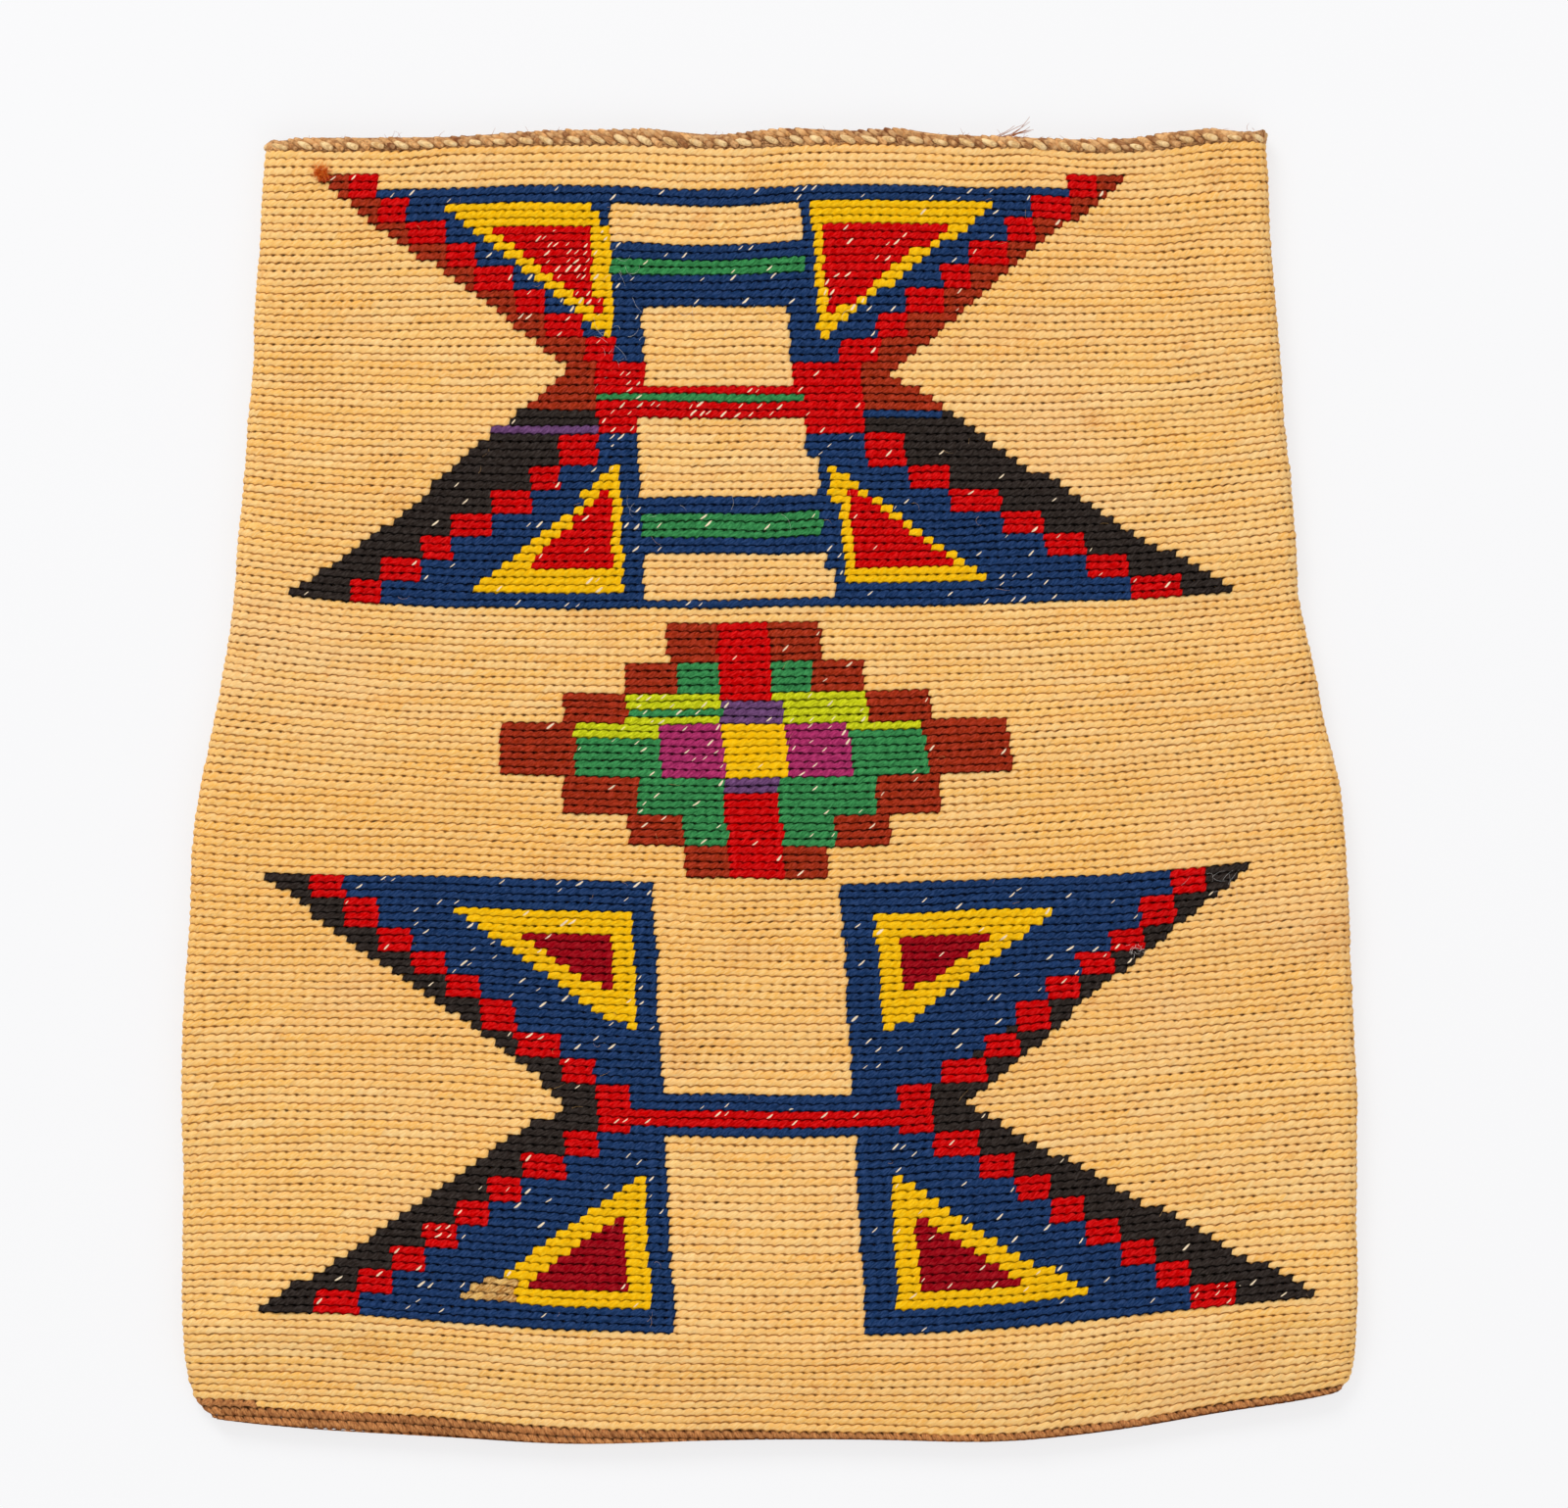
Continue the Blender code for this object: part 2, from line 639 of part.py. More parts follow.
def bottom_design(materials, parent):
    """The lower motif: four wings with one red band and two thin blue ones through the middle."""
    up = (LOW_FIRST - BLOCK_FIRST) / BOTTOM_SQUARES
    down = (LOW_LAST - BLOCK_LAST) / BOTTOM_SQUARES
    blue_1, red_1, red_2, blue_2 = BAR_ROWS
    top_1, low_1 = LOW_FIRST + BLUE_ABOVE, LOW_LAST - BLUE_BELOW
    top_2, low_2 = top_1 + YELLOW_ROWS, low_1 - YELLOW_ROWS
    tip_1, tip_2 = BLOCK_FIRST - 6.2, BLOCK_FIRST - 11.4
    low_tip_1, low_tip_2 = BLOCK_LAST + 4.8, BLOCK_LAST + 9.8
    for side, sign, block_in, block_out, column, reach, waist, low_reach, step in (
        ("left", -1, -12.2, -15.4, -9.0, -4.1, -17.5, -6.3, -3.10),
        ("right", 1, 12.3, 15.4, 8.2, 4.1, 17.7, 7.4, 3.12),
    ):
        chain_up = chain_sides((block_out, BLOCK_FIRST), (step, up), BOTTOM_SQUARES)
        chain_low = chain_sides((block_out, BLOCK_LAST), (step, down), BOTTOM_SQUARES)
        band = [(block_in, BLOCK_LAST), (block_in, BLOCK_FIRST)]
        if side == "left":
            other = 12.3
            band = [band[0], (block_in, red_2), (other, red_2), (other, red_1), (block_in, red_1),
                    band[1]]
        make_field(
            f"bottom_red_{side}",
            chain_up[0][::-1] + chain_low[0] + chain_low[1][::-1] + band + chain_up[1],
            materials["red"], parent,
        )
        make_field(
            f"bottom_black_{side}",
            chain_up[0][::-1] + chain_low[0] + [
                (chain_low[0][-1][0] + low_reach, LOW_LAST), (waist, red_1),
                (chain_up[0][-1][0] + reach, LOW_FIRST),
            ],
            materials["black"], parent,
        )
        upper_triangle = [(sign * 27.7, top_1), (sign * 10.9, top_1), (sign * 10.8, tip_1)]
        upper_inner = [(sign * 21.8, top_2), (sign * 12.9, top_2), (sign * 12.9, tip_2)]
        lower_triangle = [(sign * 10.9, low_tip_1), (sign * 11.2, low_1), (sign * 27.8, low_1)]
        lower_inner = [(sign * 12.8, low_tip_2), (sign * 13.3, low_2), (sign * 21.7, low_2)]
        triangle_pair(
            f"bottom_upper_{side}", upper_triangle, upper_inner, "crimson", materials, parent
        )
        triangle_pair(
            f"bottom_lower_{side}", lower_triangle, lower_inner, "crimson", materials, parent
        )
        upper_end = [(column, LOW_FIRST), (column, red_1), (block_in, red_1), (block_in, BLOCK_FIRST)]
        lower_end = [(column, LOW_LAST), (column, red_2), (block_in, red_2), (block_in, BLOCK_LAST)]
        if side == "left":
            upper_end[1:2] = [(column, blue_1), (8.2, blue_1), (8.2, red_1)]
            lower_end[1:2] = [(column, blue_2), (8.2, blue_2), (8.2, red_2)]
        make_field(
            f"bottom_blue_upper_{side}", chain_up[1] + upper_end, materials["blue"], parent,
            hole=upper_triangle,
        )
        make_field(
            f"bottom_blue_lower_{side}", chain_low[1] + lower_end, materials["blue"], parent,
            hole=lower_triangle,
        )


def centre_on_floor(parent):
    """Moves the whole bag so that its box is centred on the origin, with its back at height 0."""
    corners = [vert.co for part in parent.children for vert in part.data.vertices]
    for axis in (0, 1):
        values = [corner[axis] for corner in corners]
        parent.location[axis] = -(min(values) + max(values)) / 2


def main():
    clear_scene()
    materials = {name: make_material(name, colour) for name, colour in COLOURS.items()}
    bag = bpy.data.objects.new("bag", None)
    bpy.context.collection.objects.link(bag)
    make_body(materials["husk"], bag)
    make_start_band(materials["start"], bag)
    seat = FIRST_ROW - 0.5 - GAP / ROW_PITCH
    make_rim("rim_binding", seat, BINDING_HEIGHT, BINDING_STITCH, materials["binding"], bag)
    second_seat = seat - (BINDING_HEIGHT + GAP) / ROW_PITCH
    make_rim("rim_cord", second_seat, CORD_HEIGHT, CORD_TWIST, materials["cord"], bag)
    top_design(materials, bag)
    middle_design(materials, bag)
    bottom_design(materials, bag)
    centre_on_floor(bag)
    bpy.context.view_layer.update()


main()
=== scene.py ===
# %% [markdown]
# # A flat bag twined from cord and corn husk
#
# The CAD model of this bag is a plain body with flat fields of colour. Here each row of twining becomes a
# rope of separate stitches, each field becomes wool stitches, and the mouth gets its overcast rim.
# Nothing is drawn on a picture: a stitch's colour comes from the shape that its middle lies in, because
# that is how the weaver made the pattern, one stitch at a time.

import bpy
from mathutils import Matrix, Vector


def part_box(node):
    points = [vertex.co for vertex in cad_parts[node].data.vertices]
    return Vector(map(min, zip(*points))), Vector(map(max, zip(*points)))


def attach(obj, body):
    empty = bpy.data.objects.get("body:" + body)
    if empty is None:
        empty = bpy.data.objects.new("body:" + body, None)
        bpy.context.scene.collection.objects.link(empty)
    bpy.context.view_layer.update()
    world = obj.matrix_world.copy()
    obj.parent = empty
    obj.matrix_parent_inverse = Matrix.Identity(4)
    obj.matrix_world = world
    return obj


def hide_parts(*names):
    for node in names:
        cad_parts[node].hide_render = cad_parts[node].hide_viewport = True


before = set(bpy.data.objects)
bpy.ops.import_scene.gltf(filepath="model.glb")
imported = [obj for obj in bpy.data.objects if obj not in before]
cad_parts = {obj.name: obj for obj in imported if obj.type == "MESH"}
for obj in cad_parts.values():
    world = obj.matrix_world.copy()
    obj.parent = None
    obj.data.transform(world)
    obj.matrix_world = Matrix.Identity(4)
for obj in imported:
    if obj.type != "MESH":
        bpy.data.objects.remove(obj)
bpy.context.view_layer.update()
print("CAD nodes:", len(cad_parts))

# %% [markdown]
# ## Camera
#
# The bag was photographed from straight above. A long lens from three metres up keeps the sides from
# leaning, and its focal length follows from how wide a strip of the cloth fills the picture.

# %% Camera straight above the bag
import math

import bpy
import numpy as np
from mathutils import Vector

MM = 0.001
VIEW_WIDTH = 0.5952
VIEW_FROM_LEFT, VIEW_BELOW_TOP = 0.00539, 0.23226
CAMERA_UP = 3.0
body_high = np.array(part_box("twined_body")[1])

lens_data = bpy.data.cameras.new("camera")
lens_data.sensor_width = 36.0
lens_data.lens = 36.0 * CAMERA_UP / VIEW_WIDTH
camera = bpy.data.objects.new("camera", lens_data)
camera.location = (VIEW_FROM_LEFT, body_high[1] - VIEW_BELOW_TOP, body_high[2] + CAMERA_UP)
bpy.context.scene.collection.objects.link(camera)
bpy.context.scene.camera = camera
print("lens", round(lens_data.lens, 1), "mm")

# %% [markdown]
# ## The cloth, in stitches and rows
#
# Cloth made by hand is never quite square: the rows bow, the columns of stitches lean, and the bag widens
# toward its bottom. The first two tables hold that, as measured on the photograph: the half widths of the
# front, and how far each row is lifted at five places across. A smooth curve through the entries keeps
# kinks out of the rows. The third holds soft sags: the place and row of each, its half width and half
# height, and how far it falls.

# %% The bag's tables
ROW_PITCH = 3.0
FIRST_ROW, LAST_ROW = 2, 164
STITCHES_ACROSS = 105
LEAN_START, LEAN_PER_ROW = -22.5, 0.164
DEPTH, START_DEPTH, TAPER_ROWS = 13.0, 7.5, 10
FOLD_WIDTH = 5.5

EDGES = (
    (-2, 191.0, 188.0), (15, 194.4, 191.4), (30, 197.4, 194.7), (45, 200.0, 197.7), (60, 203.7, 201.4),
    (75, 210.7, 209.6), (90, 218.9, 217.8), (105, 221.7, 220.6), (120, 223.4, 222.3), (142, 223.8, 223.8),
    (154, 223.4, 223.8), (159, 221.8, 223.6), (162, 220.4, 222.4), (164, 218.2, 220.4), (166, 212.5, 215.0),
    (168, 203.0, 205.0),
)
LIFT_PLACES = (-1.0, -0.6, 0.0, 0.6, 1.0)
LIFTS = (
    (-2, -2.7, -1.3, 0.4, -2.6, 0.5), (15, -3.3, -2.3, 0.1, -1.8, -0.2), (30, 0.0, -2.1, -1.9, -2.2, 3.0),
    (60, 5.2, -2.0, -2.1, 0.3, 6.8), (90, 8.4, 3.6, -0.1, 4.9, 11.8), (105, 8.0, 5.8, 1.4, 6.4, 13.2),
    (125, 6.0, 6.6, 1.1, 7.9, 14.4), (150, 6.0, 3.6, -2.7, 4.7, 13.1), (165, 9.1, 5.4, -0.2, 3.3, 17.0),
)
SAGS = (
    (-0.12, 9, 0.20, 14, 3.2), (-0.35, 166, 0.20, 12, 2.0), (0.40, 166, 0.17, 12, 2.0),
    (0.80, 166, 0.14, 12, -1.8), (0.90, 3, 0.09, 9, -2.0), (0.70, 3, 0.12, 9, 1.0),
    (-0.86, 100, 0.22, 17, 2.6), (0.65, 100, 0.25, 10, 1.2),
)


def curve_through(table, column, row):
    """A smooth curve through one column of a table, read at any rows."""
    rows = np.array([entry[0] for entry in table], float)
    values = np.array([entry[column] for entry in table], float)
    slopes = np.gradient(values, rows)
    row = np.clip(row, rows[0], rows[-1])
    i = np.clip(np.searchsorted(rows, row, "right") - 1, 0, len(rows) - 2)
    step = rows[i + 1] - rows[i]
    t = (row - rows[i]) / step
    held = (2 * t**3 - 3 * t**2 + 1) * values[i] + (3 * t**2 - 2 * t**3) * values[i + 1]
    return held + step * ((t**3 - 2 * t**2 + t) * slopes[i] + (t**3 - t**2) * slopes[i + 1])


def through_places(values, across):
    """A smooth curve across the front through its values at the five places."""
    total = 0.0
    for value, place in zip(values, LIFT_PLACES):
        share = value
        for other in LIFT_PLACES:
            if other != place:
                share = share * (across - other) / (place - other)
        total = total + share
    return total


def lift_at(across, row):
    """How far a row is lifted toward the mouth, at a place from -1 at the left fold to 1."""
    lift = through_places([curve_through(LIFTS, i + 1, row) for i in range(5)], across)
    return lift - sag_at(across, row)


def sag_at(across, row):
    """How far the soft sags let a row down at a place across the front."""
    total = 0.0
    for place, middle, wide, tall, fall in SAGS:
        total = total + fall * np.exp(-(((across - place) / wide) ** 2) - ((row - middle) / tall) ** 2)
    return total


# %% [markdown]
# ## From the count to a place in space
#
# The bag is one tube that lies flat, so a stitch keeps its count as it goes round the fold to the back.
# `wrap` takes how far round the tube a point lies from the middle of the front and walks it along the
# front, round the half-round fold and on along the back. Everything that lies on the cloth goes through
# it: the stitches, the rim, the lining and the loose threads.

# %% Wrap a point round the tube
top_row = FIRST_ROW - 0.5
MOUTH = body_high[1] / MM - float(lift_at(1.0, top_row) + sag_at(1.0, top_row)) + top_row * ROW_PITCH


def thickness_at(row):
    share = np.clip((row - (LAST_ROW - TAPER_ROWS)) / TAPER_ROWS, 0.0, 1.0)
    return DEPTH - share * (DEPTH - START_DEPTH)


def fold_lengths(row):
    """Half the thickness at a row, and the length of a quarter of the way round a fold."""
    half = thickness_at(row) / 2
    return half, math.pi / 2 * np.sqrt((FOLD_WIDTH**2 + half**2) / 2)


def flat_reach(along, row):
    """How far the flat front reaches on the side that a point lies on."""
    left, right = curve_through(EDGES, 1, row), curve_through(EDGES, 2, row)
    return np.where(along < 0, left, right) - FOLD_WIDTH


def wrap(along, row, out):
    """The place, in millimetres, of a point that stands off the cloth by out."""
    half, quarter = fold_lengths(row)
    flat = flat_reach(along, row)
    side = np.where(along < 0, -1.0, 1.0)
    past = np.abs(along) - flat
    turn = np.clip(past / quarter, 0, 2) * math.pi / 2
    reach = np.minimum(np.abs(along), flat) + FOLD_WIDTH * np.sin(turn) - np.maximum(past - 2 * quarter, 0)
    nx, nz = side * np.sin(turn) / FOLD_WIDTH, np.cos(turn) / half
    length = np.hypot(nx, nz)
    x = side * reach + nx / length * out
    z = half * (1 + np.cos(turn)) + nz / length * out
    y = MOUTH - row * ROW_PITCH + lift_at(np.clip(side * reach / (flat + FOLD_WIDTH), -1, 1), row)
    return np.stack([x, y, np.maximum(z, 0.0)], axis=-1)


def along_at(stitch, row):
    """How far round the tube a stitch of the count lies."""
    pitch = (curve_through(EDGES, 1, row) + curve_through(EDGES, 2, row)) / STITCHES_ACROSS
    return LEAN_START + LEAN_PER_ROW * row + stitch * pitch


print("middle of the cloth:", wrap(np.array([0.0]), np.array([80.0]), 0.0).round(2))

# %% [markdown]
# ## The design
#
# Wool was wrapped round the outside of the twining wherever the pattern wanted colour, so the design is a
# list of plain shapes in stitches and rows. They are laid down in order, and a later one covers an earlier
# one. The chains of red squares run corner to corner, so one short function makes each of them.

# %% Helpers for the shapes
DESIGN = []


def lay(colour, *corners):
    DESIGN.append((colour, corners))


def lay_block(colour, low, high, first, last):
    lay(colour, (low, first), (high, first), (high, last), (low, last))


def lay_chain(stitch, row, across, down, count):
    for i in range(count):
        near, far, r = round(stitch + i * across), round(stitch + (i + 1) * across), row + i * down
        lay_block("red", min(near, far), max(near, far), min(r, r + down), max(r, r + down))


# %% Upper motif
lay("brown", (-41.3, 4.6), (-38.4, 4.6), (-11.0, 28.8), (-13.1, 34.4), (-20.6, 34.4), (-15.4, 29.6))
lay("brown", (43.2, 4.6), (40.1, 4.6), (12.5, 28.8), (13.7, 34.4), (22.2, 34.4), (16.9, 29.6))
lay("black", (-20.6, 34.4), (-13.1, 34.4), (-13.1, 38.0), (-38.4, 59.8), (-44.3, 59.8))
lay("black", (22.2, 34.4), (13.7, 34.4), (13.7, 38.0), (43.6, 59.8), (49.9, 59.8))
lay_block("violet", -23.6, -13.1, 36.5, 37.4)
lay_block("blue", 13.7, 22.0, 34.4, 35.4)
lay("blue", (-36.4, 6.4), (-10.9, 6.4), (-10.9, 21.4), (-8.3, 21.4), (-8.3, 28.8), (-11.0, 28.8))
lay("blue", (38.1, 6.4), (9.2, 6.4), (9.2, 17.9), (7.2, 17.9), (7.5, 28.8), (12.5, 28.8))
lay_block("blue", -12.0, 10.0, 6.4, 8.8)
lay_block("blue", -10.9, 9.2, 13.6, 21.4)
lay_block("green", -10.9, 9.2, 15.7, 17.9)
lay("blue", (-13.1, 38.0), (-9.2, 38.0), (-9.4, 58.3), (9.7, 58.3), (9.0, 45.0), (8.2, 38.0), (13.7, 38.0),
    (43.6, 59.8), (-38.4, 59.8))
lay("husk", (-9.2, 38.0), (7.8, 38.0), (8.5, 45.9), (-9.1, 45.9))
lay_block("blue", -9.4, 9.3, 45.9, 52.8)
lay_block("green", -9.4, 9.3, 47.8, 50.6)
lay("yellow", (-27.9, 8.7), (-12.9, 8.7), (-11.4, 11.5), (-11.2, 25.4))
lay("red", (-23.6, 11.5), (-12.9, 11.5), (-12.4, 22.8))
lay("yellow", (29.6, 8.7), (10.4, 8.7), (9.7, 11.5), (9.9, 25.6))
lay("red", (24.4, 11.5), (10.9, 11.5), (10.9, 23.4))
lay("yellow", (-10.9, 41.2), (-11.0, 57.2), (-26.1, 57.2))
lay("red", (-12.0, 43.4), (-12.3, 54.3), (-20.7, 54.3))
lay("yellow", (10.2, 41.6), (11.2, 57.0), (26.5, 57.0))
lay("red", (11.5, 44.0), (12.2, 54.3), (22.1, 54.3))
lay_chain(-11.0, 28.8, -3.42, -3.02, 8)
lay_chain(12.5, 28.8, 3.45, -3.02, 8)
lay_chain(-13.1, 38.0, -3.61, 3.11, 7)
lay_chain(13.7, 38.0, 4.27, 3.11, 7)
lay("red", (-13.1, 28.8), (-8.3, 28.8), (-8.3, 31.2), (7.5, 31.2), (7.5, 28.8), (13.7, 28.8), (13.7, 38.0),
    (8.2, 38.0), (7.5, 35.9), (-9.2, 35.9), (-9.2, 38.0), (-13.1, 38.0))
lay_block("green", -12.9, 8.3, 32.6, 33.6)
print("upper motif:", len(DESIGN), "shapes")

# %% [markdown]
# The stepped diamond in the middle is made of blocks. Its left and right halves were counted apart,
# because the weaver's two sides are not quite alike.

# %% Middle motif
STEP_ROWS = (62.0, 66.5, 70.7, 75.0, 82.0, 86.6, 90.8, 94.1)
for outer, inner in (
    ((-7.2, -11.4, -16.6, -23.2, -16.9, -11.4, -6.2), (-2.0, -6.4, -10.5, -15.7, -10.3, -5.8, -1.5)),
    ((8.2, 12.4, 17.6, 24.8, 18.1, 12.7, 7.5), (3.0, 7.4, 11.9, 17.1, 11.8, 7.6, 3.5)),
):
    for i, (a, b) in enumerate(zip(outer, inner)):
        lay_block("green", min(b, 0), max(b, 0), STEP_ROWS[i], STEP_ROWS[i + 1])
        lay_block("brown", min(a, b), max(a, b), STEP_ROWS[i], STEP_ROWS[i + 1])
lay_block("lime", -10.5, -2.0, 70.7, 75.0)
lay_block("green", -10.5, -2.0, 72.6, 74.0)
lay_block("lime", -15.7, -7.8, 75.0, 76.1)
lay_block("lime", 3.0, 11.9, 70.7, 75.0)
lay_block("lime", 10.0, 17.2, 75.0, 75.6)
lay_block("purple", -7.8, -1.5, 75.0, 82.0)
lay_block("purple", 3.8, 10.0, 75.0, 82.0)
lay_block("red", -2.0, 3.0, 62.0, 71.3)
lay_block("violet", -2.0, 3.8, 71.3, 75.0)
lay_block("orange", -1.5, 3.8, 75.0, 82.0)
lay_block("violet", -1.5, 3.5, 82.0, 83.9)
lay_block("red", -1.5, 3.5, 83.9, 94.1)
print("with the middle motif:", len(DESIGN), "shapes")

# %% Lower motif
for sign, inner, outer, column, upper_chain, lower_chain, tip_up, waist, tip_down, low_yellow in (
    (-1, -12.2, -15.4, -9.0, (-15.4, -3.10), (-15.4, -3.10), -44.3, -17.5, -46.5, -27.8),
    (1, 12.3, 15.5, 8.2, (16.4, 3.10), (15.4, 3.15), 45.0, 17.7, 49.0, 28.8),
):
    end = upper_chain[0] + 8 * upper_chain[1]
    lay("black", (tip_up, 96.0), (end, 96.0), (outer, 121.8), (outer, 127.5), (end, 151.8),
        (tip_down, 151.8), (waist, 124.1))
    lay("blue", (end, 96.0), (column, 96.0), (column, 151.8), (end, 151.8), (outer, 127.5),
        (outer, 121.8))
    lay("yellow", (sign * 27.7, 99.4), (sign * 10.9, 99.4), (sign * 10.8, 115.6))
    lay("crimson", (sign * 21.8, 102.3), (sign * 12.9, 102.3), (sign * 12.9, 110.4))
    lay("yellow", (sign * 10.9, 132.3), (sign * 11.2, 149.0), (low_yellow, 149.0))
    lay("crimson", (sign * 12.8, 137.3), (sign * 13.3, 146.1), (sign * 21.7, 146.1))
    lay_chain(upper_chain[0], 121.8, upper_chain[1], -3.2875, 8)
    lay_chain(lower_chain[0], 127.5, lower_chain[1], 3.0375, 8)
    lay_block("red", min(inner, outer), max(inner, outer), 121.8, 127.5)
lay_block("blue", -9.4, 8.6, 122.9, 127.3)
lay_block("red", -12.3, 12.4, 124.2, 126.2)
lay_block("red", -41.0, -37.0, 148.8, 151.8)
lay_block("start", -80.0, -47.5, 163.5, 165.0)
lay("bare", (-27.9, 148.6), (-23.6, 148.6), (-22.4, 146.6), (-23.4, 145.6), (-25.4, 145.6), (-27.2, 147.5))
print("whole design:", len(DESIGN), "shapes")

# %% [markdown]
# ## Rows of stitches
#
# Each row is its own strip, curved like a rope and not joined to its neighbours, so that the crease
# between two rows stays sharp. A stitch slants, swells in its middle and is pinched where it meets the
# next. Its top rises into the row above in a low bump, and the foot of that row gives way to match, so
# that the crease waves. Small seeded wanderings in where the stitches fall, how thick the row is, how
# high each stitch stands and how the whole cloth rolls keep it from looking printed.

# %% Seeded wandering of hand work
HAND = np.random.default_rng(164)
ROWS = np.arange(FIRST_ROW, LAST_ROW + 1)
COUNT_FIRST, COUNT_LAST = -132, 132


def wander(rows, every, size):
    """For each row a line that drifts from knot to knot of the count, as a function of the stitch."""
    knots = np.arange(COUNT_FIRST, COUNT_LAST + every, every)
    values = HAND.normal(0.0, size, (rows, len(knots)))
    return lambda row, stitch: np.interp(stitch, knots, values[row])


def rolling(stitches, rows, size):
    """A slow roll that neighbouring rows share, as a function of the row and the stitch."""
    values = HAND.normal(0.0, size, (len(ROWS) // rows + 5, (COUNT_LAST - COUNT_FIRST) // stitches + 4))

    def roll(row, stitch):
        u = (np.asarray(stitch, float) - COUNT_FIRST) / stitches + 0.5
        v = np.broadcast_to((row - FIRST_ROW + 4) / rows, u.shape)
        i, j = np.floor(v).astype(int), np.floor(u).astype(int)
        down, across = (part * part * (3 - 2 * part) for part in (v - i, u - j))
        above = values[i, j] * (1 - across) + values[i, j + 1] * across
        below = values[i + 1, j] * (1 - across) + values[i + 1, j + 1] * across
        return above * (1 - down) + below * down

    return roll


row_roll = rolling(6, 4, 0.10)
height_roll = rolling(11, 8, 0.42)
shift_of_row = HAND.uniform(-0.12, 0.12, len(ROWS))
stitch_drift = wander(len(ROWS), 9, 0.06)
edge_drift = wander(len(ROWS) + 1, 4, 0.045)
swell = HAND.normal(0.0, 0.13, (len(ROWS), COUNT_LAST - COUNT_FIRST + 1))
fullness = HAND.uniform(0.18, 0.34, (len(ROWS), COUNT_LAST - COUNT_FIRST + 1))
nudge = HAND.normal(0.0, 0.075, (len(ROWS), COUNT_LAST - COUNT_FIRST + 1))
print("rows:", len(ROWS))

# %% [markdown]
# `row_grid` lays out the points of every row at once. `points` has one entry for each row, column of
# points and line across the row. The joints between stitches run up to the right in a slack S, as the
# strands of a rope do, but where two colours meet they are nearly upright. The top of a stitch rises into
# the row above in a bump, and the foot of that row follows the same bumps, three quarters of a stitch
# over. So the dark crease between them waves without opening, and the eye reads it as twining.

# %% Points of all the rows
SLANT, SLANT_AT_COLOUR = 1.10, 0.35
WOOL_LIFT = 0.6
PINCH = {4: (1.0, 0.25, 0.0, 0.25), 2: (1.0, 0.0)}
BUMP = {4: (0.0, 0.55, 0.95, 0.90), 2: (0.1, 0.95)}
BUMP_MIDDLE = 0.6
DROP_AT_COLOUR, DROP_AT_JOINT, HOLLOW_AT_JOINT = 0.35, 0.16, 0.10
ROPE_REACH = 0.66


def bumps(i, columns, first, per_stitch):
    """How far the tops of one row's stitches rise into the row above, in rows."""
    cell = np.clip(columns // per_stitch + first - COUNT_FIRST, 0, fullness.shape[1] - 1)
    shape = np.array(BUMP[per_stitch])[columns % per_stitch] - BUMP_MIDDLE
    return fullness[min(i, len(ROWS) - 1), cell] * shape


def row_grid(first, last, per_stitch, lines, dips, base, slants):
    """Points and count of every row. Base is the height of each stitch, slants the lean of each joint."""
    columns = np.arange((last - first) * per_stitch + 1)
    count = first + columns / per_stitch
    pinch = np.array(PINCH[per_stitch])[columns % per_stitch]
    points = np.empty((len(ROWS), len(columns), len(lines), 3))
    weave = np.empty((len(ROWS), len(columns), len(lines), 2))
    cell = np.minimum(columns // per_stitch, last - first - 1)
    joints = np.arange(first, last + 1)
    for i, row in enumerate(ROWS):
        left = base[i, np.maximum(cell - (columns % per_stitch == 0), 0)]
        right = base[i, cell]
        height = np.where(left == right, right, np.minimum(left, right) - DROP_AT_COLOUR)
        height = height + swell[i, cell + first - COUNT_FIRST] * (1 - pinch) - DROP_AT_JOINT * pinch
        drift = shift_of_row[i] + stitch_drift(i, count)
        drift = drift + np.interp(count, joints, nudge[i, joints - COUNT_FIRST])
        slant = np.interp(count, joints, slants[i])
        own = bumps(i, columns, first, per_stitch)
        below = bumps(i + 1, columns - 3 * per_stitch // 4, first, per_stitch)
        for k, (line, dip) in enumerate(zip(lines, dips)):
            wide = abs(line) / 0.5
            edge = edge_drift(i if line < 0 else i + 1, count)
            place = row + line - (own if line < 0 else below) * wide**2 + wide * edge
            place = place + row_roll(place, count)
            stitch = count - slant * math.asin(line / ROPE_REACH) / math.pi + drift
            hollow = HOLLOW_AT_JOINT if line < 0 else 0.0
            rise = height_roll(place, count) + height + dip - hollow * wide * pinch
            points[i, :, k] = wrap(along_at(stitch, place), place, rise)
            weave[i, :, k] = np.stack([count, np.full(len(count), row + line)], axis=-1)
    return points, weave


def middles_along(first, last):
    """How far round the tube the middle of every stitch lies."""
    count = np.arange(first, last) + 0.5
    stitch = np.array([count + shift_of_row[i] + stitch_drift(i, count) for i in range(len(ROWS))])
    return along_at(stitch, ROWS[:, None].astype(float))


# %% [markdown]
# A stitch takes the colour of the last shape that holds its counted middle, before any wandering. The test
# counts how often a line from the middle crosses the outline: an odd number of crossings means inside.

# %% Colour every stitch
GROUND_NAMES = ["husk", "start", "bare"]
COLOUR_NAMES = GROUND_NAMES + sorted({colour for colour, _ in DESIGN} - set(GROUND_NAMES))


def inside(corners, x, y):
    odd = np.zeros(x.shape, bool)
    for (ax, ay), (bx, by) in zip(corners, corners[1:] + corners[:1]):
        if ay != by:
            odd ^= ((ay > y) != (by > y)) & (x < ax + (y - ay) * (bx - ax) / (by - ay))
    return odd


